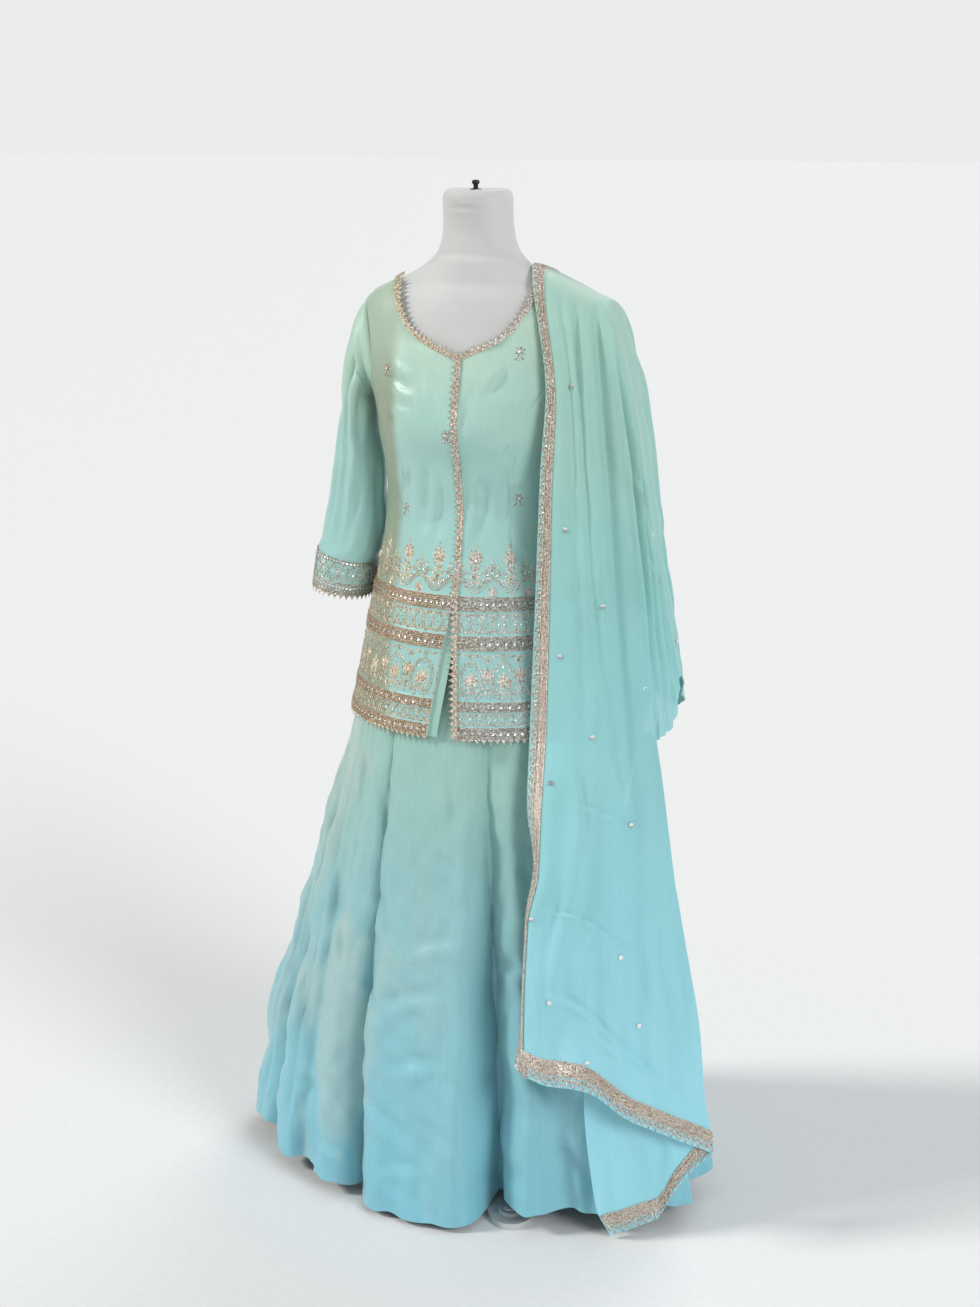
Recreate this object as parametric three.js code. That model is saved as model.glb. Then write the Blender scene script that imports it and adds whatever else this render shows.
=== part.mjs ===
// A lehenga set on a limbless dress form: front-open kurti, flared skirt, dupatta over the left shoulder.
// Millimetres, +Z up. The garment's front faces -Y and the wearer's left is +X.
// The origin is the centre of the stand's underside, on the floor.
import * as THREE from "three";

// Cloth and seams
const CLOTH = 1.5;
const VEIL = 1.2;
const TRIM = 1;
const SEAM_GAP = 0.3;
const PART_GAP = 0.8;
const LAY_GAP = 0.35;
const BAND_RELIEF = 0.8;

// Kurti
const KURTI_HEM = 738;
const CENTRE_X = 8;
const V_HEIGHT = 1258;
const SLIT_TOP = 930;
const SLIT_RIGHT_X = -18;
const SLIT_LEFT_X = 21;
const SHOULDER_NECK_Z = 1358;
const SHOULDER_TIP_Z = 1335;
const ARMPIT_Z = 1188;
const BACK_NECK_Z = 1322;
const LACE_WIDTH = 9;
const ARMHOLE_EASE = 1.7;
const SIDE_START = 1085;
const BACK_SHOULDER = 0.7;
const FACING_WIDTH = 13;
const FACING_LAP = 10;
const FACING_THICK = 1.2;

// Skirt
const WAIST_TOP = 1040;
const WAISTBAND = 35;
const FOLD_TOP = 860;

// Dupatta
const WRAP_BOTTOM = 745;

// Dress form and stand
const FORM_BOTTOM = 782;
const POLE_RADIUS = 14;
const BASE_THICK = 10;
const BASE_REACH = 215;
const ARM_WIDTH = 62;
const HUB_RADIUS = 62;
const COLLAR_TALL = 40;
const COLLAR_FLANGE = 44;
const COLLAR_NECK = 22;
const FLANGE_THICK = 7.7;
const FIRST_ARM_DEG = -55;
const ARMS = 4;

const DEG = Math.PI / 180;
const TURN = 360;

// Body rings: half width a, depth to the front f and to the back b, at height z
const FORM_RINGS = [
  { z: 782, a: 138, f: 100, b: 100 },
  { z: 800, a: 146, f: 106, b: 106 },
  { z: 860, a: 152, f: 110, b: 112 },
  { z: 930, a: 142, f: 104, b: 104 },
  { z: 1000, a: 124, f: 92, b: 88 },
  { z: 1045, a: 118, f: 86, b: 79 },
  { z: 1110, a: 126, f: 100, b: 81 },
  { z: 1165, a: 138, f: 116, b: 87 },
  { z: 1190, a: 142, f: 114, b: 90 },
  { z: 1225, a: 152, f: 108, b: 91 },
  { z: 1270, a: 160, f: 97, b: 88 },
  { z: 1310, a: 161, f: 83, b: 80 },
  { z: 1335, a: 147, f: 70.5, b: 71 },
  { z: 1352, a: 115, f: 57, b: 63 },
  { z: 1376, a: 73, f: 55, b: 60 },
  { z: 1395, a: 56, f: 51, b: 56 },
  { z: 1415, a: 50, f: 50, b: 50 },
  { z: 1440, a: 48, f: 54, b: 42 },
  { z: 1466, a: 48, f: 60, b: 36 },
  { z: 1473, a: 44, f: 56, b: 32 },
];

const KURTI_RINGS = [
  { z: 730, a: 189.5, f: 161, b: 150 },
  { z: 769, a: 181, f: 155, b: 143 },
  { z: 831, a: 169, f: 143, b: 131 },
  { z: 892, a: 158, f: 130, b: 120 },
  { z: 930, a: 149.5, f: 121, b: 112 },
  { z: 1000, a: 137, f: 104, b: 96 },
  { z: 1045, a: 132, f: 98.5, b: 86 },
  { z: 1110, a: 136, f: 110, b: 88 },
  { z: 1165, a: 145, f: 123, b: 93 },
  { z: 1190, a: 149, f: 121, b: 95 },
  { z: 1225, a: 158, f: 113, b: 95 },
  { z: 1270, a: 164, f: 100, b: 91 },
  { z: 1310, a: 165, f: 89, b: 86 },
  { z: 1335, a: 151.5, f: 79.5, b: 81 },
  { z: 1352, a: 119.5, f: 70.5, b: 76 },
  { z: 1376, a: 80, f: 62, b: 68 },
];

const SKIRT_RINGS = [
  { z: 10, a: 360, f: 214, b: 260 },
  { z: 70, a: 352, f: 212, b: 256 },
  { z: 142, a: 340, f: 208.5, b: 250 },
  { z: 211, a: 328, f: 205, b: 241 },
  { z: 280, a: 311, f: 200, b: 230 },
  { z: 348, a: 290, f: 195, b: 217 },
  { z: 415, a: 272, f: 189, b: 204 },
  { z: 482, a: 252, f: 182, b: 191 },
  { z: 547, a: 236, f: 175, b: 179 },
  { z: 612, a: 215, f: 167, b: 166 },
  { z: 676, a: 196.5, f: 159, b: 154 },
  { z: 740, a: 180.5, f: 150, b: 141 },
  { z: 800, a: 166, f: 134, b: 128 },
  { z: 860, a: 156, f: 120, b: 118 },
  { z: 930, a: 144, f: 108, b: 107 },
  { z: 1005, a: 124.4, f: 92.6, b: 88.4 },
  { z: 1040, a: 119.2, f: 87.4, b: 80.6 },
];

// Vertical folds of the skirt: place at the top and the hem, depth at the hem, half width.
// A ridge has a negative depth.
const SKIRT_FOLDS = [
  { top: 21, hem: 14.6, depth: 54, half: 6.5 },
  { top: 36, hem: 33, depth: 16, half: 15 },
  { top: 58, hem: 60, depth: 24, half: 7 },
  { top: 84, hem: 86, depth: 26, half: 8 },
  { top: 104, hem: 108, depth: 30, half: 8 },
  { top: 131, hem: 130, depth: 22, half: 7 },
  { top: 150, hem: 153, depth: 36, half: 8 },
  { top: 178, hem: 176, depth: 24, half: 7 },
  { top: 199, hem: 201, depth: 38, half: 8 },
  { top: 226, hem: 224, depth: 26, half: 7 },
  { top: 246, hem: 248, depth: 32, half: 8 },
  { top: 272, hem: 269, depth: -24, half: 11 },
  { top: 292, hem: 297, depth: 26, half: 8 },
  { top: 316, hem: 318, depth: 14, half: 9 },
  { top: 334, hem: 336.5, depth: 26, half: 5.5 },
  { top: 352, hem: 354, depth: -6, half: 10 },
];

// Panel seams of the skirt, degrees round from the front
const SKIRT_SEAMS = [
  { top: 21, hem: 14.6 },
  { top: 50, hem: 47 },
  { top: 80, hem: 78 },
  { top: 110, hem: 110 },
  { top: 140, hem: 141 },
  { top: 170, hem: 171 },
  { top: 200, hem: 201 },
  { top: 230, hem: 231 },
  { top: 260, hem: 261 },
  { top: 286, hem: 287 },
  { top: 310, hem: 311 },
  { top: 334, hem: 336.5 },
];

// Height of the skirt's hem round the figure
const HEM_HEIGHTS = [
  { u: 0, z: 12 },
  { u: 7, z: 8 },
  { u: 12, z: 12 },
  { u: 18, z: 32 },
  { u: 45, z: 34 },
  { u: 75, z: 28 },
  { u: 105, z: 34 },
  { u: 135, z: 20 },
  { u: 165, z: 30 },
  { u: 195, z: 20 },
  { u: 225, z: 32 },
  { u: 255, z: 24 },
  { u: 270, z: 28 },
  { u: 288, z: 38 },
  { u: 300, z: 30 },
  { u: 316, z: 26 },
  { u: 326, z: 30 },
  { u: 336, z: 14 },
  { u: 348, z: 10 },
  { u: 360, z: 12 },
];

// Front half of the neckline: distance from the garment's centre at each height
const NECKLINE = [
  { half: 0, z: 1258 },
  { half: 16, z: 1265 },
  { half: 34, z: 1272 },
  { half: 54, z: 1281 },
  { half: 72, z: 1295 },
  { half: 86, z: 1316 },
  { half: 94, z: 1337 },
  { half: 98, z: 1351 },
];

// Armhole, from the shoulder tip round the front to the armpit: w degrees round it, u degrees round the body
const ARMHOLE = [
  { w: 0, u: 90, z: SHOULDER_TIP_Z },
  { w: 22, u: 76, z: 1327 },
  { w: 45, u: 67, z: 1308 },
  { w: 68, u: 61, z: 1282 },
  { w: 90, u: 58.5, z: 1258 },
  { w: 112, u: 59, z: 1236 },
  { w: 135, u: 64, z: 1213 },
  { w: 158, u: 75, z: 1195 },
  { w: 180, u: 90, z: ARMPIT_Z },
];

// Sleeve rings: outer point xo, zo and inner point xi, zi of the tube, its half depth, and its middle's y
const SLEEVE_RINGS = [
  { xo: 162, zo: 1327, xi: 152.3, zi: 1190.5, depth: 53, y: 1 },
  { xo: 175, zo: 1308, xi: 155, zi: 1180, depth: 55, y: 0 },
  { xo: 190, zo: 1262, xi: 152, zi: 1158, depth: 53, y: -2 },
  { xo: 199, zo: 1210, xi: 149, zi: 1135, depth: 50, y: -3 },
  { xo: 205, zo: 1165, xi: 146, zi: 1108, depth: 48, y: -4 },
  { xo: 215, zo: 1110, xi: 143, zi: 1072, depth: 47, y: -5 },
  { xo: 225, zo: 1040, xi: 142, zi: 1018, depth: 47, y: -7 },
  { xo: 235, zo: 990, xi: 150, zi: 970, depth: 48, y: -9 },
  { xo: 242, zo: 966, xi: 156, zi: 946, depth: 49, y: -10 },
  { xo: 250, zo: 912, xi: 165, zi: 897, depth: 51, y: -12 },
];
const CUFF_TOP_ROW = 8;

// Dupatta over the shoulder: lines from front to back, with their top point and their ends at the lower edge
const WRAP_LINES = [
  { c: 0, x: 79, z: 1376, frontX: 123, frontY: 132, backX: 116, backY: 130 },
  { c: 0.12, x: 107, z: 1365.4, frontX: 164, frontY: 141, backX: 146, backY: 137 },
  { c: 0.28, x: 148, z: 1347.5, frontX: 222, frontY: 130, backX: 196, backY: 136 },
  { c: 0.38, x: 170, z: 1337, frontX: 258, frontY: 110, backX: 226, backY: 126 },
  { c: 0.46, x: 188, z: 1330, frontX: 284, frontY: 90, backX: 248, backY: 110 },
  { c: 0.56, x: 205, z: 1283, frontX: 294, frontY: 72, backX: 268, backY: 92 },
  { c: 0.7, x: 229, z: 1185, frontX: 302, frontY: 48, backX: 284, backY: 68 },
  { c: 0.85, x: 260, z: 1010, frontX: 305, frontY: 26, backX: 297, backY: 42 },
  { c: 1, x: 299, z: 812, frontX: 301, frontY: 4, backX: 300, backY: 18 },
];

// Front end of the dupatta: inner border, outer fold and the long edge tucked behind, at height z
const FRONT_END = [
  { z: 0, edgeX: 132, edgeY: -236, inX: 160, inY: -246, foldX: 362, foldY: -76, outX: 262, outY: -152 },
  { z: 60, edgeX: 132, edgeY: -236, inX: 158, inY: -244, foldX: 380, foldY: -75, outX: 242, outY: -172 },
  { z: 130, edgeX: 132, edgeY: -236, inX: 156, inY: -242, foldX: 389, foldY: -77, outX: 230, outY: -172 },
  { z: 200, edgeX: 131, edgeY: -234, inX: 156, inY: -240, foldX: 378, foldY: -82, outX: 221, outY: -168 },
  { z: 265, edgeX: 131, edgeY: -226, inX: 158, inY: -238, foldX: 368, foldY: -84, outX: 217, outY: -162 },
  { z: 320, edgeX: 137, edgeY: -206, inX: 149, inY: -232, foldX: 361, foldY: -86, outX: 216, outY: -158 },
  { z: 420, edgeX: 138, edgeY: -194, inX: 147, inY: -222, foldX: 346, foldY: -92, outX: 222, outY: -146 },
  { z: 500, edgeX: 137, edgeY: -182, inX: 147, inY: -209, foldX: 333, foldY: -94, outX: 232, outY: -134 },
  { z: 570, edgeX: 144, edgeY: -172, inX: 158, inY: -197, foldX: 320, foldY: -94, outX: 242, outY: -122 },
  { z: 650, edgeX: 130, edgeY: -160, inX: 155, inY: -176, foldX: 307, foldY: -92, outX: 254, outY: -96 },
  { z: 745, edgeX: 123, edgeY: -132, inX: 150, inY: -142, foldX: 291, foldY: -90, outX: 262, outY: -50 },
];

// Lower edge of the front end, w across the sheet from the inner border to the tucked edge
const FRONT_END_EDGE = [
  { w: 0, z: 286 },
  { w: 0.085, z: 282 },
  { w: 0.16, z: 270 },
  { w: 0.26, z: 262 },
  { w: 0.4, z: 204 },
  { w: 0.62, z: 122 },
  { w: 0.74, z: 62 },
  { w: 0.8, z: 16 },
  { w: 1, z: 5 },
];
const BORDER_W = 0.085;
const FOLD_W = 0.62;
const FRONT_BOW = 18;
const FRONT_BOW_GROWTH = 6;
const TUCK_BOW = 12;

// Back end: its slanting lower edge, w across from the neck side, and how far it stands back at height z
const BACK_HEM = [
  { w: 0, z: 436 },
  { w: 0.25, z: 472 },
  { w: 0.5, z: 548 },
  { w: 0.75, z: 640 },
  { w: 1, z: 734 },
];
const BACK_END_C = 0.38;
const BACK_FLARE = [
  { z: 420, y: 88 },
  { z: 520, y: 65 },
  { z: 640, y: 31 },
  { z: 745, y: 0 },
  { z: 800, y: 0 },
];

// Embroidered bands that stand proud of the kurti, from height a to height b
const RAISED_BANDS = [
  { a: 738, b: 755 },
  { a: 776, b: 790 },
  { a: 859, b: 880 },
  { a: 912, b: 931 },
];
const BAND_EDGE = 3;

// A smooth value through the rows of a table, with no overshoot
function smooth(rows, key, name) {
  const sorted = [...rows].sort((p, q) => p[key] - q[key]);
  const at = sorted.map((r) => r[key]);
  const value = sorted.map((r) => r[name]);
  const last = at.length - 1;
  const rise = at.slice(1).map((x, i) => (value[i + 1] - value[i]) / (x - at[i]));
  const slope = at.map((x, i) => {
    if (i === 0) return rise[0];
    if (i === last) return rise[last - 1];
    if (rise[i - 1] * rise[i] <= 0) return 0;
    return (2 * rise[i - 1] * rise[i]) / (rise[i - 1] + rise[i]);
  });
  return (x) => {
    if (x <= at[0]) return value[0] + slope[0] * (x - at[0]);
    if (x >= at[last]) return value[last] + slope[last] * (x - at[last]);
    let i = 0;
    while (x > at[i + 1]) i += 1;
    const span = at[i + 1] - at[i];
    const t = (x - at[i]) / span;
    const t2 = t * t;
    const t3 = t2 * t;
    return (
      (2 * t3 - 3 * t2 + 1) * value[i] +
      (t3 - 2 * t2 + t) * span * slope[i] +
      (3 * t2 - 2 * t3) * value[i + 1] +
      (t3 - t2) * span * slope[i + 1]
    );
  };
}

const mix = (a, b, t) => a + (b - a) * t;
const steps = (n) => Array.from({ length: n + 1 }, (_, i) => i / n);

// A body surface from its rings: u degrees round from the front towards +X, at height z
function ringSurface(rows) {
  const a = smooth(rows, "z", "a");
  const f = smooth(rows, "z", "f");
  const b = smooth(rows, "z", "b");
  return (u, z) => {
    const c = Math.cos(u * DEG);
    return new THREE.Vector3(a(z) * Math.sin(u * DEG), -(c > 0 ? f(z) : b(z)) * c, z);
  };
}

// Outward normal of a surface of two parameters
function normalOf(surface, p, q, stepP, stepQ) {
  const along = surface(p + stepP, q).sub(surface(p - stepP, q));
  const up = surface(p, q + stepQ).sub(surface(p, q - stepQ));
  return along.cross(up).normalize();
}

const bodyNormal = (surface, u, z) => normalOf(surface, u, z, 0.05, 0.5);

// The point that stands proud of a body surface by d
const proud = (surface, u, z, d) => surface(u, z).addScaledVector(bodyNormal(surface, u, z), d);

// Degrees round the body that cover a distance along the ring
function degreesFor(surface, u, z, distance) {
  return distance / surface(u + 0.5, z).distanceTo(surface(u - 0.5, z));
}

// A closed wall from rows of points, each with its outer and inner place
function wallGeometry(rows, closed = false) {
  const high = rows.length;
  const wide = rows[0].length;
  const position = [];
  rows.forEach((row) => row.forEach((p) => position.push(...p.outer.toArray(), ...p.inner.toArray())));
  const index = [];
  const at = (i, j, side) => 2 * (i * wide + (j % wide)) + side;
  const quad = (a, b, c, d) => index.push(a, b, c, a, c, d);
  const spans = closed ? wide : wide - 1;
  const top = high - 1;
  for (let i = 0; i < top; i += 1) {
    for (let j = 0; j < spans; j += 1) {
      quad(at(i, j, 0), at(i, j + 1, 0), at(i + 1, j + 1, 0), at(i + 1, j, 0));
      quad(at(i, j, 1), at(i + 1, j, 1), at(i + 1, j + 1, 1), at(i, j + 1, 1));
    }
  }
  for (let j = 0; j < spans; j += 1) {
    quad(at(0, j, 1), at(0, j + 1, 1), at(0, j + 1, 0), at(0, j, 0));
    quad(at(top, j, 0), at(top, j + 1, 0), at(top, j + 1, 1), at(top, j, 1));
  }
  if (!closed) {
    const end = wide - 1;
    for (let i = 0; i < top; i += 1) {
      quad(at(i, 0, 0), at(i + 1, 0, 0), at(i + 1, 0, 1), at(i, 0, 1));
      quad(at(i, end, 1), at(i + 1, end, 1), at(i + 1, end, 0), at(i, end, 0));
    }
  }
  return indexed(position, index);
}

function indexed(position, index) {
  const geometry = new THREE.BufferGeometry();
  geometry.setAttribute("position", new THREE.Float32BufferAttribute(position, 3));
  geometry.setIndex(index);
  geometry.computeVertexNormals();
  return geometry;
}

// A closed solid through rings of points, with a flat cap at each end
function solidGeometry(rings) {
  const wide = rings[0].length;
  const position = [];
  rings.forEach((ring) => ring.forEach((p) => position.push(...p.toArray())));
  const index = [];
  const at = (i, j) => i * wide + (j % wide);
  for (let i = 0; i < rings.length - 1; i += 1) {
    for (let j = 0; j < wide; j += 1) {
      index.push(at(i, j), at(i, j + 1), at(i + 1, j + 1), at(i, j), at(i + 1, j + 1), at(i + 1, j));
    }
  }
  const top = rings.length - 1;
  for (let j = 1; j < wide - 1; j += 1) {
    index.push(at(0, 0), at(0, j + 1), at(0, j));
    index.push(at(top, 0), at(top, j), at(top, j + 1));
  }
  return indexed(position, index);
}

// Four-sided patch between its edges, each a list of [u, z]
function patch(left, right, bottom, top) {
  const n = left.length - 1;
  const m = bottom.length - 1;
  return left.map((_, i) =>
    bottom.map((__, j) => {
      const s = j / m;
      const t = i / n;
      return [0, 1].map((k) => {
        const sides = mix(left[i][k], right[i][k], s) + mix(bottom[j][k], top[j][k], t);
        const corners = mix(mix(left[0][k], right[0][k], s), mix(left[n][k], right[n][k], s), t);
        return sides - corners;
      });
    }),
  );
}

const straight = (from, to, n) => steps(n).map((t) => [mix(from[0], to[0], t), mix(from[1], to[1], t)]);

const kurti = ringSurface(KURTI_RINGS);
const kurtiWidth = smooth(KURTI_RINGS, "z", "a");
const form = ringSurface(FORM_RINGS);

function bandRelief(z) {
  const inside = RAISED_BANDS.some((band) => z >= band.a && z <= band.b);
  return inside ? BAND_RELIEF : 0;
}

// Height on the side seam of the row that lies at z on the princess seam
const sideSeamHeight = (z) =>
  z < SIDE_START ? z : mix(SIDE_START, ARMPIT_Z, (z - SIDE_START) / (V_HEIGHT - SIDE_START));

const kurtiOuter = (u, z, d = 0) => proud(kurti, u, z, CLOTH + bandRelief(z) + d);

function kurtiWall(cells) {
  return wallGeometry(
    cells.map((row) =>
      row.map(([u, z]) => ({ outer: kurtiOuter(u, z), inner: kurti(u, z) })),
    ),
  );
}

// Heights of the kurti's rows, with one at each edge of the raised bands
const BODY_ROWS = [
  ...RAISED_BANDS.flatMap(({ a, b }, i) => [...(i === 0 ? [] : [a - BAND_EDGE]), a, b, b + BAND_EDGE]),
  825,
  970,
  1008,
  1045,
  1085,
  1125,
  1165,
  1200,
  1230,
  V_HEIGHT,
].sort((p, q) => p - q);

const SEAM_POINTS = [
  { z: 738, u: 37 },
  { z: 930, u: 36 },
  { z: 1045, u: 34 },
  { z: 1165, u: 41 },
  { z: 1225, u: 52 },
  { z: V_HEIGHT, u: 58.5 },
];
const princess = smooth(SEAM_POINTS, "z", "u");
const angleAt = (x, z) => Math.asin(x / kurtiWidth(z)) / DEG;

// Edge of the front opening: side -1 is the wearer's right front, 1 the left front
function openingEdge(side, z) {
  const hemX = side < 0 ? SLIT_RIGHT_X : SLIT_LEFT_X;
  const spread = z < SLIT_TOP ? (SLIT_TOP - z) / (SLIT_TOP - KURTI_HEM) : 0;
  return angleAt(mix(CENTRE_X, hemX, spread) + side * SEAM_GAP, z);
}

// Neckline points on one side, from the V to the shoulder seam
function necklineEdge(side) {
  const points = NECKLINE.map(({ half, z }) => {
    const x = half === 0 ? CENTRE_X + side * SEAM_GAP : CENTRE_X * (1 - half / 110) + side * half;
    return [angleAt(x, z), z];
  });
  return [...points, [side * 90, SHOULDER_NECK_Z]];
}

const armholeU = smooth(ARMHOLE, "w", "u");
const armholeZ = smooth(ARMHOLE, "w", "z");
const HALF_ARMHOLE = 90;
const NECK_STEPS = NECKLINE.length;

// Shifts a seam line along the ring, by a distance in mm
const shifted = (line, distance) =>
  line.map(([u, z]) => [u + degreesFor(kurti, u, z, distance), z]);

// Cells of a centre front, from the opening to the side, with a lace-wide first column
function centreFrontCells(side) {
  const opening = [...BODY_ROWS.slice(0, -1).map((z) => [openingEdge(side, z), z]), ...necklineEdge(side)];
  const seam = BODY_ROWS.map((z) => [side * princess(z), z]);
  const armhole = steps(NECK_STEPS)
    .slice(1)
    .map((t) => mix(HALF_ARMHOLE, 0, t))
    .map((w) => [side * armholeU(w), armholeZ(w)]);
  const outside = shifted([...seam, ...armhole], (-side * SEAM_GAP) / 2);
  const last = opening.length - 1;
  const across = 5;
  return opening.map((edge, i) => {
    const from = i === last ? shifted([edge], (-side * SEAM_GAP) / 2)[0] : edge;
    const to = outside[i];
    const lace = LACE_WIDTH / kurti(...from).distanceTo(kurti(...to));
    const columns = [0, ...steps(across).map((t) => mix(lace, 1, t))];
    return columns.map((t) => [mix(from[0], to[0], t), mix(from[1], to[1], t)]);
  });
}

// Cells run with the angle round the body, so that faces point out
const towardsLeft = (cells, side) => (side > 0 ? cells : cells.map((row) => [...row].reverse()));

const centreFront = (side) => kurtiWall(towardsLeft(centreFrontCells(side), side));

function sideFront(side) {
  const seam = shifted(BODY_ROWS.map((z) => [side * princess(z), z]), (side * SEAM_GAP) / 2);
  const sideSeam = shifted(
    BODY_ROWS.map((z) => [side * 90, sideSeamHeight(z)]),
    (-side * SEAM_GAP) / 2,
  );
  const across = 5;
  const armhole = steps(across).map((t) => {
    const w = mix(HALF_ARMHOLE, 180, t);
    return [side * armholeU(w), armholeZ(w)];
  });
  armhole[0] = seam.at(-1);
  armhole[across] = sideSeam.at(-1);
  const foot = straight(seam[0], sideSeam[0], across);
  return kurtiWall(towardsLeft(patch(seam, sideSeam, foot, armhole), side));
}

// Cells of the back, one piece from side seam to side seam, with a lace-wide last row
function backCells() {
  const edge = (side) => {
    const u0 = side > 0 ? 90 : 270;
    const body = BODY_ROWS.map((z) => [u0, sideSeamHeight(z)]);
    const armhole = steps(NECK_STEPS)
      .slice(1)
      .map((t) => mix(180, 0, t))
      .map((w) => [side > 0 ? 180 - armholeU(w) : 180 + armholeU(w), armholeZ(w)]);
    return shifted([...body, ...armhole], (side * SEAM_GAP) / 2);
  };
  const across = 12;
  const left = edge(1);
  const right = edge(-1);
  const head = steps(across).map((t) => {
    const dip = Math.abs(2 * t - 1);
    const z =
      dip >= BACK_SHOULDER
        ? mix(SHOULDER_NECK_Z, SHOULDER_TIP_Z, (dip - BACK_SHOULDER) / (1 - BACK_SHOULDER))
        : mix(BACK_NECK_Z, SHOULDER_NECK_Z, (dip / BACK_SHOULDER) ** 4);
    return [mix(left.at(-1)[0], right.at(-1)[0], t), z];
  });
  const below = head.map(([, z], j) => [mix(left.at(-2)[0], right.at(-2)[0], j / across), z - LACE_WIDTH]);
  below[0] = left.at(-2);
  below[across] = right.at(-2);
  const foot = straight(left[0], right[0], across);
  return [...patch(left.slice(0, -1), right.slice(0, -1), foot, below), head];
}

// Sleeve: rings from the armhole to the cuff, side 1 is the wearer's left
const sleeveAt = Object.fromEntries(
  ["xo", "zo", "xi", "zi", "depth", "y"].map((name) => [
    name,
    smooth(SLEEVE_RINGS.map((r, row) => ({ ...r, row })), "row", name),
  ]),
);

function sleevePoint(side, row, w) {
  const c = Math.cos(w * DEG);
  const x = mix(sleeveAt.xi(row), sleeveAt.xo(row), (1 + c) / 2);
  const z = mix(sleeveAt.zi(row), sleeveAt.zo(row), (1 + c) / 2);
  return new THREE.Vector3(side * x, sleeveAt.y(row) - sleeveAt.depth(row) * Math.sin(w * DEG), z);
}

const SLEEVE_SIDES = 16;

function armholePoint(side, w, inset) {
  const half = w <= 180 ? w : 360 - w;
  const u = w <= 180 ? armholeU(half) : 180 - armholeU(half);
  const z = armholeZ(half);
  const centre = kurti(90, 1262);
  const p = kurti(u, z);
  const towards = centre.sub(p);
  towards.x = 0;
  p.addScaledVector(towards.normalize(), inset);
  p.x *= side;
  return p;
}

const sleeveRing = (side, w) => (side > 0 ? TURN - w : w);

function sleeve(side) {
  const rows = [];
  const turn = steps(SLEEVE_SIDES).slice(0, -1).map((t) => t * TURN);
  for (let row = SLEEVE_RINGS.length - 1; row >= 0; row -= 1) {
    rows.push(
      turn.map((v) => {
        const w = sleeveRing(side, v);
        const surface = (p, q) => sleevePoint(side, q, p);
        const n = normalOf(surface, w, row, 1, 0.05).multiplyScalar(side);
        const outer = sleevePoint(side, row, w);
        return { outer, inner: outer.clone().addScaledVector(n, -CLOTH) };
      }),
    );
  }
  rows.push(
    turn.map((v) => {
      const w = sleeveRing(side, v);
      return {
        outer: armholePoint(side, w, ARMHOLE_EASE),
        inner: armholePoint(side, w, ARMHOLE_EASE + CLOTH),
      };
    }),
  );
  return wallGeometry(rows, true);
}

function cuffBand(side) {
  const turn = steps(SLEEVE_SIDES).slice(0, -1).map((t) => t * TURN);
  const rows = [SLEEVE_RINGS.length - 1, CUFF_TOP_ROW].map((row) =>
    turn.map((v) => {
      const w = sleeveRing(side, v);
      const surface = (p, q) => sleevePoint(side, q, p);
      const n = normalOf(surface, w, row, 1, 0.05).multiplyScalar(side);
      const p = sleevePoint(side, row, w);
      return {
        outer: p.clone().addScaledVector(n, LAY_GAP + TRIM),
        inner: p.clone().addScaledVector(n, LAY_GAP),
      };
    }),
  );
  return wallGeometry(rows, true);
}

// Trim that lies on some cells of the kurti
function trimOnKurti(cells) {
  return wallGeometry(
    cells.map((row) =>
      row.map(([u, z]) => ({
        outer: kurtiOuter(u, z, LAY_GAP + TRIM),
        inner: kurtiOuter(u, z, LAY_GAP),
      })),
    ),
  );
}

// Lace down one front: the left one runs on along the opening to the hem
function frontLace(side) {
  const strip = centreFrontCells(side).map((row) => row.slice(0, 2));
  const rows = side > 0 ? strip : strip.slice(BODY_ROWS.length);
  return trimOnKurti(towardsLeft(rows, side));
}

const backLace = () => {
  const rows = backCells().slice(-2);
  const across = rows[0].length - 1;
  const skip = Math.ceil(((1 - BACK_SHOULDER) / 2) * across);
  return trimOnKurti(rows.map((row) => row.slice(skip, across + 1 - skip)));
};

// The turned-in edge that shows in the slit, behind the right front
function slitFacing() {
  const rows = BODY_ROWS.filter((z) => z <= SLIT_TOP + 2);
  return wallGeometry(
    rows.map((z) => {
      const start = openingEdge(-1, z);
      const wide = FACING_WIDTH * Math.min(1, (SLIT_TOP + 12 - z) / 80);
      return [-FACING_LAP, wide].map((x) => {
        const u = start + degreesFor(kurti, 0, z, x);
        return { outer: proud(kurti, u, z, -SEAM_GAP), inner: proud(kurti, u, z, -SEAM_GAP - FACING_THICK) };
      });
    }),
  );
}

// Skirt
const skirtBody = ringSurface(SKIRT_RINGS);
const hemHeight = smooth(HEM_HEIGHTS, "u", "z");
const aroundTurn = (u) => ((u % TURN) + TURN) % TURN;

// How far down a fold has opened, 0 at its top and 1 at the hem
const foldGrowth = (z) => Math.max(0, (FOLD_TOP - z) / FOLD_TOP) ** 1.25;

function skirtFold(u, z) {
  const t = Math.min(1, Math.max(0, (FOLD_TOP - z) / FOLD_TOP));
  return SKIRT_FOLDS.reduce((sum, { top, hem, depth, half }) => {
    const away = Math.abs(aroundTurn(u - mix(top, hem, t) + 180) - 180);
    return sum - depth * foldGrowth(z) * Math.exp(-((away / half) ** 2));
  }, 0);
}

function skirt(u, z) {
  const p = skirtBody(u, z);
  const n = bodyNormal(skirtBody, u, z).setZ(0).normalize();
  return p.addScaledVector(n, skirtFold(u, z));
}

const SKIRT_TOP = WAIST_TOP - WAISTBAND - SEAM_GAP;
const SKIRT_ROWS = 13;

const seamAngle = ({ top, hem }, t) => mix(hem, top, t);

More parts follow.
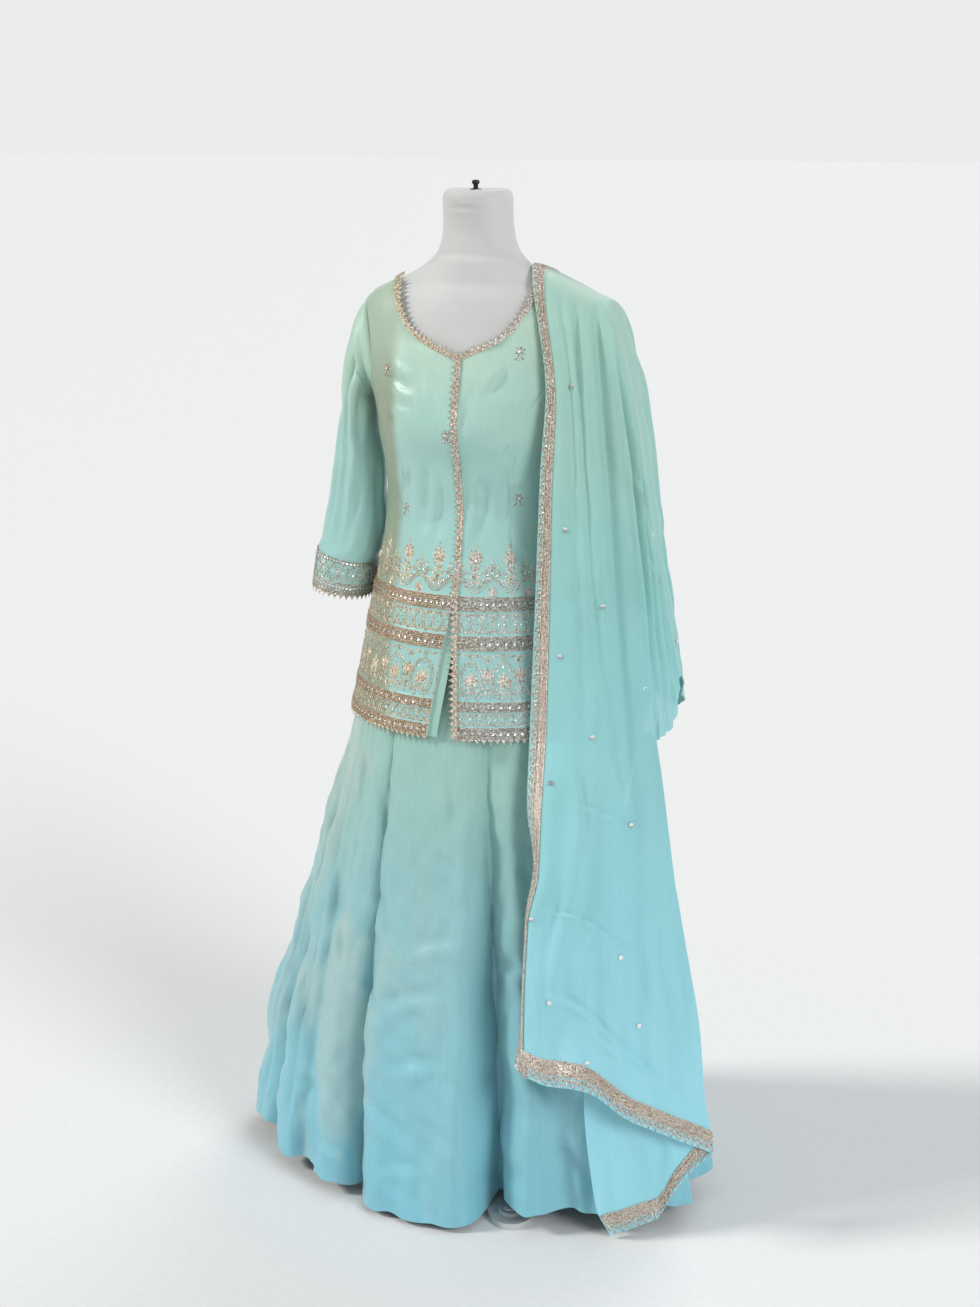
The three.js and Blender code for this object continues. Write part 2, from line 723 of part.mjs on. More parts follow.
function skirtPanel(k) {
  const first = SKIRT_SEAMS[k];
  const next = SKIRT_SEAMS[(k + 1) % SKIRT_SEAMS.length];
  const across = 5;
  const rows = steps(SKIRT_ROWS).map((t) => {
    const from = seamAngle(first, t);
    const to = seamAngle(next, t) + (k === SKIRT_SEAMS.length - 1 ? TURN : 0);
    return steps(across).map((s) => {
      const plain = mix(from, to, s);
      const low = hemHeight(aroundTurn(plain));
      const z = mix(low, SKIRT_TOP, t);
      const inset = s === 0 ? SEAM_GAP / 2 : s === 1 ? -SEAM_GAP / 2 : 0;
      const u = plain + degreesFor(skirt, plain, z, inset);
      const n = normalOf(skirt, plain, z, 0.3, 1);
      const inner = skirt(u, z);
      return { outer: inner.clone().addScaledVector(n, CLOTH), inner };
    });
  });
  return wallGeometry(rows);
}

function waistband() {
  const turn = steps(28).slice(0, -1).map((t) => t * TURN);
  const rows = [WAIST_TOP - WAISTBAND, WAIST_TOP - WAISTBAND / 2, WAIST_TOP].map((z) =>
    turn.map((u) => ({ outer: proud(skirtBody, u, z, CLOTH + 1), inner: skirtBody(u, z) })),
  );
  return wallGeometry(rows, true);
}

// Dupatta over the shoulder: c across from the neck side, t from the front (-1) over the top to the back (1)
const wrapAt = Object.fromEntries(
  ["x", "z", "frontX", "frontY", "backX", "backY"].map((name) => [name, smooth(WRAP_LINES, "c", name)]),
);
const RIDGE_ROUNDING = 0.06;
const SHOULDER_FRONT = 0.58;
const SHOULDER_BACK = 0.63;
const SHOULDER_ARM = 0.64;
const SWING_OUT = 8;
const OUTER_LIFT = 50;
const NECK_SIDE = 0.3;
const SLEEVE_SIDE = 0.46;
const wrapLow = (c) => WRAP_BOTTOM + OUTER_LIFT * Math.max(0, (c - 0.6) / 0.4) ** 1.6;

function wrap(c, t) {
  const s = Math.abs(t);
  const drop = (s * s * (1 + RIDGE_ROUNDING)) / (s + RIDGE_ROUNDING);
  const shoulder = mix(t < 0 ? SHOULDER_FRONT : SHOULDER_BACK, SHOULDER_ARM, Math.min(1, c / SLEEVE_SIDE));
  const forward = shoulder * (1 - Math.exp(-s / 0.06)) + (1 - shoulder) * s ** 1.3;
  const sideways = mix(1 - (1 - s) ** 7, s ** 0.85, Math.min(1, c / NECK_SIDE));
  const swing = SWING_OUT * Math.exp(-(((s - 0.28) / 0.12) ** 2)) * Math.max(0, 1 - c / NECK_SIDE);
  const endX = t < 0 ? wrapAt.frontX(c) : wrapAt.backX(c);
  const y = t < 0 ? -wrapAt.frontY(c) : wrapAt.backY(c);
  return new THREE.Vector3(
    mix(wrapAt.x(c), endX, sideways) + swing,
    y * forward,
    mix(wrapAt.z(c), wrapLow(c), drop),
  );
}

// Front end: w across from the inner border, round the outer fold, to the tucked edge
const endAt = Object.fromEntries(
  ["edgeX", "edgeY", "inX", "inY", "foldX", "foldY", "outX", "outY"].map((name) => [
    name,
    smooth(FRONT_END, "z", name),
  ]),
);
const edgeHeight = smooth(FRONT_END_EDGE, "w", "z");

function frontSection(w, z) {
  const inner = new THREE.Vector2(endAt.inX(z), endAt.inY(z));
  const fold = new THREE.Vector2(endAt.foldX(z), endAt.foldY(z));
  const outer = new THREE.Vector2(endAt.outX(z), endAt.outY(z));
  const growth = 1 - z / WRAP_BOTTOM;
  if (w < BORDER_W) {
    const s = w / BORDER_W;
    return new THREE.Vector3(mix(endAt.edgeX(z), inner.x, s), mix(endAt.edgeY(z), inner.y, s), z);
  }
  if (w <= FOLD_W) {
    const s = (w - BORDER_W) / (FOLD_W - BORDER_W);
    const p = inner.clone().lerp(fold, s);
    p.y -= (FRONT_BOW + FRONT_BOW_GROWTH * growth) * Math.sin(Math.PI * Math.max(0, s) ** 0.8);
    return new THREE.Vector3(p.x, p.y, z);
  }
  const s = (w - FOLD_W) / (1 - FOLD_W);
  const p = fold.clone().lerp(outer, s);
  p.y += TUCK_BOW * Math.sin(Math.PI * s ** 0.6) * (0.4 + 0.6 * growth);
  return new THREE.Vector3(p.x, p.y, z);
}

const frontEnd = (w, v) => frontSection(w, mix(edgeHeight(w), WRAP_BOTTOM - PART_GAP, v));

const backHem = smooth(BACK_HEM, "w", "z");
const backFlare = smooth(BACK_FLARE, "z", "y");

function backEnd(w, v) {
  const c = BACK_END_C * w;
  const z = mix(backHem(w), WRAP_BOTTOM - PART_GAP, v);
  return new THREE.Vector3(wrapAt.backX(c), wrapAt.backY(c) + backFlare(z) * (1 - 0.55 * c), z);
}

// A veil wall over a grid of two parameters, low and high its distances out from the surface.
// Facing is 1 where the grid already turns its face out, and -1 where it turns it in.
function veil(surface, across, along, low, high, facing) {
  return wallGeometry(
    along.map((v) =>
      across.map((w) => {
        const p = surface(w, v);
        const out = normalOf(surface, w, v, 0.004, 0.004).multiplyScalar(facing);
        const far = p.clone().addScaledVector(out, high);
        const near = p.clone().addScaledVector(out, low);
        return facing > 0 ? { outer: far, inner: near } : { outer: near, inner: far };
      }),
    ),
  );
}

const material = (color, roughness, metalness = 0) =>
  new THREE.MeshStandardMaterial({ color, roughness, metalness });
const silk = material(0x9cc8bd, 0.45);
const skirtSilk = material(0x92c8cb, 0.45);
const veilCloth = material(0xa0cfcb, 0.6);
const gold = material(0xb49a7c, 0.45, 0.6);
const formCover = material(0xd2d2ce, 0.8);
const steel = material(0x9a9c9e, 0.35, 0.9);

const set = new THREE.Group();

function add(name, geometry, finish) {
  const mesh = new THREE.Mesh(geometry, finish);
  mesh.name = name;
  set.add(mesh);
  return mesh;
}

// Dress form
function dressForm() {
  const sides = 28;
  const between = [895, 965, 1078, 1138, 1325, 1344, 1364];
  const heights = [...FORM_RINGS.map((r) => r.z), ...between].sort((p, q) => p - q);
  return solidGeometry(
    heights.map((z) => steps(sides).slice(0, -1).map((t) => form(t * TURN, z))),
  );
}

function lathe(points, sides) {
  const geometry = new THREE.LatheGeometry(points.map(([r, z]) => new THREE.Vector2(r, z)), sides);
  geometry.rotateX(90 * DEG);
  return geometry;
}

function base() {
  const shape = new THREE.Shape();
  const half = ARM_WIDTH / 2;
  const tip = BASE_REACH - half;
  const root = HUB_RADIUS;
  for (let k = 0; k < ARMS; k += 1) {
    const angle = (FIRST_ARM_DEG + (k * TURN) / ARMS) * DEG;
    const along = new THREE.Vector2(Math.cos(angle), Math.sin(angle));
    const across = new THREE.Vector2(-along.y, along.x);
    const at = (r, side) => along.clone().multiplyScalar(r).addScaledVector(across, side);
    const start = at(root, -half);
    if (k === 0) shape.moveTo(start.x, start.y);
    else shape.lineTo(start.x, start.y);
    const edge = at(tip, -half);
    shape.lineTo(edge.x, edge.y);
    const centre = at(tip, 0);
    shape.absarc(centre.x, centre.y, half, angle - 90 * DEG, angle + 90 * DEG, false);
    const finish = at(root, half);
    shape.lineTo(finish.x, finish.y);
  }
  shape.closePath();
  return new THREE.ExtrudeGeometry(shape, { depth: BASE_THICK, bevelEnabled: false, curveSegments: 7 });
}

add("dress_form", dressForm(), formCover);
add("stand_base", base(), steel);
const collarFoot = BASE_THICK + SEAM_GAP;
const collarTop = collarFoot + COLLAR_TALL;
const collarBore = POLE_RADIUS + SEAM_GAP;
const collarProfile = [
  [collarBore, collarFoot],
  [COLLAR_FLANGE, collarFoot],
  [COLLAR_FLANGE, collarFoot + FLANGE_THICK],
  [COLLAR_NECK + 2, collarFoot + 2 * FLANGE_THICK],
  [COLLAR_NECK, collarTop],
  [collarBore, collarTop],
  [collarBore, collarFoot],
];
add("stand_collar", lathe(collarProfile, 24), steel);
const poleTop = FORM_BOTTOM - SEAM_GAP;
const poleProfile = [[0, collarFoot], [POLE_RADIUS, collarFoot], [POLE_RADIUS, poleTop], [0, poleTop]];
add("stand_pole", lathe(poleProfile, 16), steel);

// Kurti
for (const [side, hand] of [[-1, "right"], [1, "left"]]) {
  add(`kurti_front_${hand}`, centreFront(side), silk);
  add(`kurti_side_front_${hand}`, sideFront(side), silk);
  add(`sleeve_${hand}`, sleeve(side), silk);
  add(`cuff_band_${hand}`, cuffBand(side), gold);
}
add("kurti_back", kurtiWall(backCells()), silk);
add("neck_lace_right", frontLace(-1), gold);
add("neck_lace_left", frontLace(1), gold);
add("neck_lace_back", backLace(), gold);
add("slit_facing", slitFacing(), silk);

// Skirt
add("skirt_waistband", waistband(), skirtSilk);
SKIRT_SEAMS.forEach((_, k) => add(`skirt_panel_${k + 1}`, skirtPanel(k), skirtSilk));

// Dupatta, with its zari border on the neck side and along both short ends
const WRAP_C = [0, 0.075, 0.15, 0.22, 0.3, 0.38, 0.46, 0.55, 0.65, 0.76, 0.88, 1];
const WRAP_T = [
  -1, -0.84, -0.68, -0.53, -0.4, -0.28, -0.18, -0.1, -0.04, 0, 0.04, 0.1, 0.18, 0.3, 0.45, 0.62, 0.8, 1,
];
const FRONT_W = [0, BORDER_W, 0.14, 0.2, 0.28, 0.36, 0.45, 0.54, 0.6, 0.64, 0.7, 0.77, 0.82, 0.91, 1];
const HEM_GAP_V = 0.003;
const FRONT_V = [0, 0.06, 0.06 + HEM_GAP_V, ...steps(9).slice(1)];
const aboveHem = (values) => values.slice(2);
const BACK_W = WRAP_C.filter((c) => c <= BACK_END_C).map((c) => c / BACK_END_C);
const BACK_V = [0, 0.11, 0.11 + HEM_GAP_V, 0.36, 0.68, 1];
const OVER = VEIL + LAY_GAP;
add("dupatta_over_shoulder", veil(wrap, WRAP_C, WRAP_T, 0, VEIL, 1), veilCloth);
add("dupatta_front_end", veil(frontEnd, FRONT_W, FRONT_V, 0, VEIL, 1), veilCloth);
add("dupatta_back_end", veil(backEnd, BACK_W, BACK_V, 0, VEIL, -1), veilCloth);
add("border_over_shoulder", veil(wrap, WRAP_C.slice(0, 2), WRAP_T, OVER, OVER + TRIM, 1), gold);
add("border_front_side", veil(frontEnd, FRONT_W.slice(0, 2), aboveHem(FRONT_V), OVER, OVER + TRIM, 1), gold);
add("border_front_hem", veil(frontEnd, FRONT_W, FRONT_V.slice(0, 2), OVER, OVER + TRIM, 1), gold);
add("border_back_side", veil(backEnd, BACK_W.slice(0, 2), aboveHem(BACK_V), OVER, OVER + TRIM, -1), gold);
add("border_back_hem", veil(backEnd, BACK_W, BACK_V.slice(0, 2), OVER, OVER + TRIM, -1), gold);

export default set;
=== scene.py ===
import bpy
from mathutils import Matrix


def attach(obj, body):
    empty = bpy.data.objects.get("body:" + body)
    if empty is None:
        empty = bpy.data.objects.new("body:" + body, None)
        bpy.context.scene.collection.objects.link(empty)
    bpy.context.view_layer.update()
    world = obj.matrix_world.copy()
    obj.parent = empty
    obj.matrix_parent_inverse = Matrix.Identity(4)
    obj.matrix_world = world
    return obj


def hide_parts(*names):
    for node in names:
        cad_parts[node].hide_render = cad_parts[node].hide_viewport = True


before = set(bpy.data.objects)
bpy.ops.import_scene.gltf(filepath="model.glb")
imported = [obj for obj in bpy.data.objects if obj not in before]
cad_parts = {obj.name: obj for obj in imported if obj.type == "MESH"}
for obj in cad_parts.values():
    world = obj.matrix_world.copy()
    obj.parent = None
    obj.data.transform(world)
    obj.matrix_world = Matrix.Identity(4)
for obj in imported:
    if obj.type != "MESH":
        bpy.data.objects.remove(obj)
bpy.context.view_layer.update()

import math

import bmesh
import bpy
import numpy as np

# A lehenga set on a limbless dress form. Tables and surfaces are in millimetres, objects in metres.
MM = 0.001
DEG = math.pi / 180
TURN = 360.0

# Thickness of the silk and the veil, and the gap under a piece that lies on another
CLOTH = 1.5
VEIL = 1.2
LAY_GAP = 0.35

# Camera: metres, and degrees aside from the front and down from level
CAMERA_PLACE = (0.9406, -2.5842, 1.58)
CAMERA_ASIDE = 20
CAMERA_DOWN = 15.5
CAMERA_LENS = 54.1
CAMERA_SHIFT = 0.0084


def add_camera():
    data = bpy.data.cameras.new("camera")
    data.lens = CAMERA_LENS
    data.sensor_width = 36
    data.shift_x = CAMERA_SHIFT
    camera = bpy.data.objects.new("camera", data)
    camera.location = CAMERA_PLACE
    camera.rotation_euler = (math.radians(90 - CAMERA_DOWN), 0, math.radians(CAMERA_ASIDE))
    bpy.context.collection.objects.link(camera)
    bpy.context.scene.camera = camera


add_camera()


def table(names, *rows):
    return {name: np.array(column, float) for name, column in zip(names.split(), zip(*rows))}


# Rings by height z: half width a, depth in front f and behind b
FORM_RINGS = table(
    "z a f b",
    (782, 138, 100, 100), (800, 146, 106, 106), (860, 152, 110, 112), (930, 142, 104, 104),
    (1000, 124, 92, 88), (1045, 118, 86, 79), (1110, 126, 100, 81), (1165, 138, 116, 87),
    (1190, 142, 114, 90), (1225, 152, 108, 91), (1270, 160, 97, 88), (1310, 161, 83, 80),
    (1335, 147, 70.5, 71), (1352, 115, 57, 63), (1376, 73, 55, 60), (1395, 56, 51, 56),
    (1415, 50, 50, 50), (1440, 48, 54, 42), (1466, 48, 60, 36), (1473, 44, 56, 32),
)
KURTI_RINGS = table(
    "z a f b",
    (730, 189.5, 161, 150), (769, 181, 155, 143), (831, 169, 143, 131), (892, 158, 130, 120),
    (930, 149.5, 121, 112), (1000, 137, 104, 96), (1045, 132, 98.5, 86), (1110, 136, 110, 88),
    (1165, 145, 123, 93), (1190, 149, 121, 95), (1225, 158, 113, 95), (1270, 164, 100, 91),
    (1310, 165, 89, 86), (1335, 151.5, 79.5, 81), (1352, 119.5, 70.5, 76), (1376, 80, 62, 68),
)
SKIRT_RINGS = table(
    "z a f b",
    (10, 360, 214, 260), (70, 352, 212, 256), (142, 340, 208.5, 250), (211, 328, 205, 241),
    (280, 311, 200, 230), (348, 290, 195, 217), (415, 272, 189, 204), (482, 252, 182, 191),
    (547, 236, 175, 179), (612, 215, 167, 166), (676, 196.5, 159, 154), (740, 180.5, 150, 141),
    (800, 166, 134, 128), (860, 156, 120, 118), (930, 144, 108, 107), (1005, 124.4, 92.6, 88.4),
    (1040, 119.2, 87.4, 80.6),
)
# Folds of the skirt: angle at the top and at the hem, depth, half width in degrees
SKIRT_FOLDS = [
    (21, 14.6, 54, 6.5), (36, 33, 16, 15), (58, 60, 24, 7), (84, 86, 26, 8),
    (104, 108, 30, 8), (131, 130, 22, 7), (150, 153, 36, 8), (178, 176, 24, 7),
    (199, 201, 38, 8), (226, 224, 26, 7), (246, 248, 32, 8), (272, 269, -24, 11),
    (292, 297, 26, 8), (316, 318, 14, 9), (334, 336.5, 26, 5.5), (352, 354, -6, 10),
]
# Seams of the skirt: angle at the top and at the hem
SKIRT_SEAMS = [
    (21, 14.6), (50, 47), (80, 78), (110, 110), (140, 141), (170, 171),
    (200, 201), (230, 231), (260, 261), (286, 287), (310, 311), (334, 336.5),
]
# Height of the skirt's hem by angle u
HEM_HEIGHTS = table(
    "u z",
    (0, 12), (7, 8), (12, 12), (18, 32), (45, 34), (75, 28), (105, 34), (135, 20), (165, 30),
    (195, 20), (225, 32), (255, 24), (270, 28), (288, 38), (300, 30), (316, 26), (326, 30),
    (336, 14), (348, 10), (360, 12),
)
# Neckline: half width and height
NECKLINE = [
    (0, 1258), (16, 1265), (34, 1272), (54, 1281), (72, 1295), (86, 1316), (94, 1337), (98, 1351),
]
# Armhole by the angle w round it from the top: angle u on the body and height
ARMHOLE = table(
    "w u z",
    (0, 90, 1335), (22, 76, 1327), (45, 67, 1308), (68, 61, 1282), (90, 58.5, 1258),
    (112, 59, 1236), (135, 64, 1213), (158, 75, 1195), (180, 90, 1188),
)
# Sleeve from the armhole, row 0, to the cuff, row 9: outer and inner point, half depth, middle
SLEEVE_RINGS = table(
    "row xo zo xi zi depth y",
    (0, 162, 1327, 152.3, 1190.5, 53, 1), (1, 175, 1308, 155, 1180, 55, 0),
    (2, 190, 1262, 152, 1158, 53, -2), (3, 199, 1210, 149, 1135, 50, -3),
    (4, 205, 1165, 146, 1108, 48, -4), (5, 215, 1110, 143, 1072, 47, -5),
    (6, 225, 1040, 142, 1018, 47, -7), (7, 235, 990, 150, 970, 48, -9),
    (8, 242, 966, 156, 946, 49, -10), (9, 250, 912, 165, 897, 51, -12),
)
# Dupatta by the share c of its width from the neck edge: top of the shoulder, ends in front and behind
WRAP_LINES = table(
    "c x z frontX frontY backX backY",
    (0, 79, 1376, 123, 132, 116, 130), (0.12, 107, 1365.4, 164, 141, 146, 137),
    (0.28, 148, 1347.5, 222, 130, 196, 136), (0.38, 170, 1337, 258, 110, 226, 126),
    (0.46, 188, 1330, 284, 90, 248, 110), (0.56, 205, 1283, 294, 72, 268, 92),
    (0.7, 229, 1185, 302, 48, 284, 68), (0.85, 260, 1010, 305, 26, 297, 42),
    (1, 299, 812, 301, 4, 300, 18),
)
# Front end of the dupatta by height: its edge, the border's inner line, the turned fold, the far edge
FRONT_END = table(
    "z edgeX edgeY inX inY foldX foldY outX outY",
    (0, 132, -236, 160, -246, 362, -76, 262, -152), (60, 132, -236, 158, -244, 380, -75, 242, -172),
    (130, 132, -236, 156, -242, 389, -77, 230, -172), (200, 131, -234, 156, -240, 378, -82, 221, -168),
    (265, 131, -226, 158, -238, 368, -84, 217, -162), (320, 137, -206, 149, -232, 361, -86, 216, -158),
    (420, 138, -194, 147, -222, 346, -92, 222, -146), (500, 137, -182, 147, -209, 333, -94, 232, -134),
    (570, 144, -172, 158, -197, 320, -94, 242, -122), (650, 130, -160, 155, -176, 307, -92, 254, -96),
    (745, 123, -132, 150, -142, 291, -90, 262, -50),
)
# Lower edges of the ends by the share w of their width, and how far the back end swings out
FRONT_END_EDGE = table(
    "w z",
    (0, 286), (0.085, 282), (0.16, 270), (0.26, 262), (0.4, 204), (0.62, 122), (0.74, 62), (0.8, 16),
    (1, 5),
)
BACK_HEM = table("w z", (0, 436), (0.25, 472), (0.5, 548), (0.75, 640), (1, 734))
BACK_FLARE = table("z y", (420, 88), (520, 65), (640, 31), (745, 0), (800, 0))
# Raised bands round the kurti's hem, and the princess seam by height
RAISED_BANDS = [(738, 755), (776, 790), (859, 880), (912, 931)]
BAND_RELIEF = 0.8
BAND_EDGE = 3
SEAM_POINTS = table("z u", (738, 37), (930, 36), (1045, 34), (1165, 41), (1225, 52), (1258, 58.5))

# Kurti: heights, the front opening, and parts that each row of cells is cut into
KURTI_HEM = 738
V_HEIGHT = 1258
ROW_PARTS = 5
CENTRE_X = 8
OPENING_GAP = 0.15
SLIT_TOP = 930
SLIT_X = {-1: -18, 1: 21}
SHOULDER_NECK_Z = 1358
SHOULDER_TIP_Z = 1335
ARMPIT_Z = 1188
SIDE_START = 1085
BACK_NECK_Z = 1322
BACK_SHOULDER = 0.7

# Skirt and form
WAIST_TOP = 1040
WAISTBAND = 35
FOLD_TOP = 860
FORM_BOTTOM = 782
NECK_TOP = 1473

# Dupatta: where the ends hang from, and shares of its width at the border, the fold and the back end
WRAP_BOTTOM = 745
BORDER_C = 0.075
BORDER_W = 0.085
FOLD_W = 0.62
FOLD_C = 0.46
BACK_END_C = 0.38

# Size in mm of the coordinates on a piece, across and down, for creases and the weave
KURTI_ROUND = 150
SLEEVE_ROUND, SLEEVE_STEP = 0.85, 45
WRAP_ACROSS, WRAP_DOWN = 400, 640
FRONT_ACROSS, FRONT_DOWN = 430, 560
BACK_ACROSS, BACK_DOWN = 160, 300


# A smooth value through two columns of a table, with no overshoot
def curve(rows, key, name):
    order = np.argsort(rows[key])
    x, v = rows[key][order], rows[name][order]
    rise = np.diff(v) / np.diff(x)
    same = rise[:-1] * rise[1:] > 0
    total = np.where(same, rise[:-1] + rise[1:], 1)
    slope = np.r_[rise[0], np.where(same, 2 * rise[:-1] * rise[1:] / total, 0), rise[-1]]

    def at(q):
        q = np.asarray(q, float)
        i = np.clip(np.searchsorted(x, q, side="right") - 1, 0, len(x) - 2)
        span = x[i + 1] - x[i]
        t = (q - x[i]) / span
        inside = (
            (2 * t**3 - 3 * t**2 + 1) * v[i]
            + (t**3 - 2 * t**2 + t) * span * slope[i]
            + (3 * t**2 - 2 * t**3) * v[i + 1]
            + (t**3 - t**2) * span * slope[i + 1]
        )
        low = v[0] + slope[0] * (q - x[0])
        high = v[-1] + slope[-1] * (q - x[-1])
        return np.where(q <= x[0], low, np.where(q >= x[-1], high, inside))

    return at


def curves(rows, key):
    return {name: curve(rows, key, name) for name in rows if name != key}


def mix(a, b, t):
    return a + (b - a) * t


def step_up(x, low, high):
    t = np.clip((np.asarray(x, float) - low) / (high - low), 0, 1)
    return t * t * (3 - 2 * t)


def vec(x, y, z):
    return np.stack(np.broadcast_arrays(x, y, z), -1).astype(float)


def unit(v):
    return v / np.maximum(np.linalg.norm(v, axis=-1, keepdims=True), 1e-9)


# Length along a row of points, up to each of them
def lengths_along(points):
    return np.r_[0, np.cumsum(np.linalg.norm(np.diff(points, axis=0), axis=-1))]


# Surfaces
def ring_surface(rows):
    ring = curves(rows, "z")

    def at(u, z):
        c = np.cos(u * DEG)
        depth = np.where(c > 0, ring["f"](z), ring["b"](z))
        return vec(ring["a"](z) * np.sin(u * DEG), -depth * c, z)

    return at


def normal_of(surface, p, q, step_p, step_q):
    along = surface(p + step_p, q) - surface(p - step_p, q)
    up = surface(p, q + step_q) - surface(p, q - step_q)
    return unit(np.cross(along, up))


def proud(surface, u, z, d):
    d = np.asarray(d, float)[..., None]
    return surface(u, z) + normal_of(surface, u, z, 0.05, 0.5) * d


def mm_per_degree(surface, u, z):
    return np.linalg.norm(surface(u + 0.5, z) - surface(u - 0.5, z), axis=-1)


form = ring_surface(FORM_RINGS)
kurti = ring_surface(KURTI_RINGS)
kurti_width = curve(KURTI_RINGS, "z", "a")
skirt_body = ring_surface(SKIRT_RINGS)
hem_height = curve(HEM_HEIGHTS, "u", "z")
princess = curve(SEAM_POINTS, "z", "u")
armhole_at = curves(ARMHOLE, "w")
sleeve_at = curves(SLEEVE_RINGS, "row")
wrap_at = curves(WRAP_LINES, "c")
end_at = curves(FRONT_END, "z")
edge_height = curve(FRONT_END_EDGE, "w", "z")
back_hem = curve(BACK_HEM, "w", "z")
back_flare = curve(BACK_FLARE, "z", "y")


# Soft unevenness over two coordinates in mm
def unevenness(p, q, size, seed, count=9):
    draw = np.random.default_rng(seed)
    total = np.zeros(np.broadcast(p, q).shape)
    for _ in range(count):
        angle, phase = draw.uniform(0, 2 * math.pi, 2)
        turn = draw.uniform(0.6, 1.5) * 2 * math.pi / size
        total += np.sin(turn * (p * math.cos(angle) + q * math.sin(angle)) + phase)
    return total / math.sqrt(count)


# A net of sharp little valleys between rounded swells
def crumple(p, q, size, seed):
    return np.minimum(1, np.abs(unevenness(p, q, size, seed, 6))) - 0.6


# Creases: each a trough with a ridge beside it, from (p0, q0) to (p1, q1), depth and half width in mm
def creases(p, q, lines):
    total = np.zeros(np.broadcast(p, q).shape)
    for p0, q0, p1, q1, depth, wide in lines:
        dp, dq = p1 - p0, q1 - q0
        length = math.hypot(dp, dq)
        t = ((p - p0) * dp + (q - q0) * dq) / length**2
        bow = 0.05 * length * np.sin(math.pi * np.clip(t, 0, 1))
        off = ((p - p0) * dq - (q - q0) * dp) / length + bow
        fade = step_up(t, 0, 0.3) * (1 - step_up(t, 0.6, 1))
        trough = np.exp(-((off / wide) ** 2))
        ridge = 0.7 * np.exp(-(((off - 1.6 * wide) / wide) ** 2))
        total -= depth * fade * (trough - ridge)
    return total


# Meshes
def plain_mesh(name, points, faces, uv=None, sharp=50):
    mesh = bpy.data.meshes.new(name)
    mesh.from_pydata((np.asarray(points) * MM).tolist(), [], [list(map(int, f)) for f in faces])
    if uv is not None:
        corner = np.empty(len(mesh.loops), np.int32)
        mesh.loops.foreach_get("vertex_index", corner)
        layer = mesh.uv_layers.new(name="cloth")
        layer.data.foreach_set("uv", (np.asarray(uv)[corner] * MM).astype(np.float32).ravel())
    mesh.shade_smooth()
    mesh.set_sharp_from_angle(angle=math.radians(sharp))
    return mesh


def put(name, mesh, material, nodes=()):
    obj = bpy.data.objects.new(name, mesh)
    bpy.context.collection.objects.link(obj)
    mesh.materials.append(material)
    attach(obj, "root")
    if nodes:
        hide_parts(*nodes)
    return obj


# Four-sided faces between the places of a grid of point numbers
def quads(grid):
    return np.stack([grid[:-1, :-1], grid[:-1, 1:], grid[1:, 1:], grid[1:, :-1]], -1).reshape(-1, 4)


# A closed shell from its outer and inner grids of points; foot and head say where its end rows have rims
def shell(outer, inner, closed=False, foot=slice(None), head=slice(None)):
    rows, cols = outer.shape[:2]
    count = rows * cols
    grid = np.arange(count).reshape(rows, cols)
    if closed:
        grid = np.hstack([grid, grid[:, :1]])
    front = quads(grid)
    parts = [front, front[:, ::-1] + count]
    rims = [grid[0, foot], grid[-1, head][::-1]]
    if not closed:
        rims += [grid[::-1, 0], grid[:, -1]]
    for line_of in rims:
        parts.append(np.stack([line_of[1:], line_of[:-1], line_of[:-1] + count, line_of[1:] + count], -1))
    points = np.concatenate([outer.reshape(-1, 3), inner.reshape(-1, 3)])
    return points, np.concatenate(parts)


def shell_object(name, outer, inner, uv, material, nodes=(), closed=False):
    points, faces = shell(outer, inner, closed)
    both = np.concatenate([uv.reshape(-1, 2)] * 2)
    return put(name, plain_mesh(name, points, faces, both), material, nodes)


# Values at points between the rows and columns of a coarse grid
def refined(cells, row_parts, column_parts):
    cells = np.asarray(cells, float)
    for axis, parts in ((0, row_parts), (1, column_parts)):
        n = cells.shape[axis]
        at = np.linspace(0, n - 1, (n - 1) * parts + 1)
        low = np.minimum(at.astype(int), n - 2)
        t = (at - low).reshape([-1 if k == axis else 1 for k in range(3)])
        cells = mix(cells.take(low, axis), cells.take(low + 1, axis), t)
    return cells


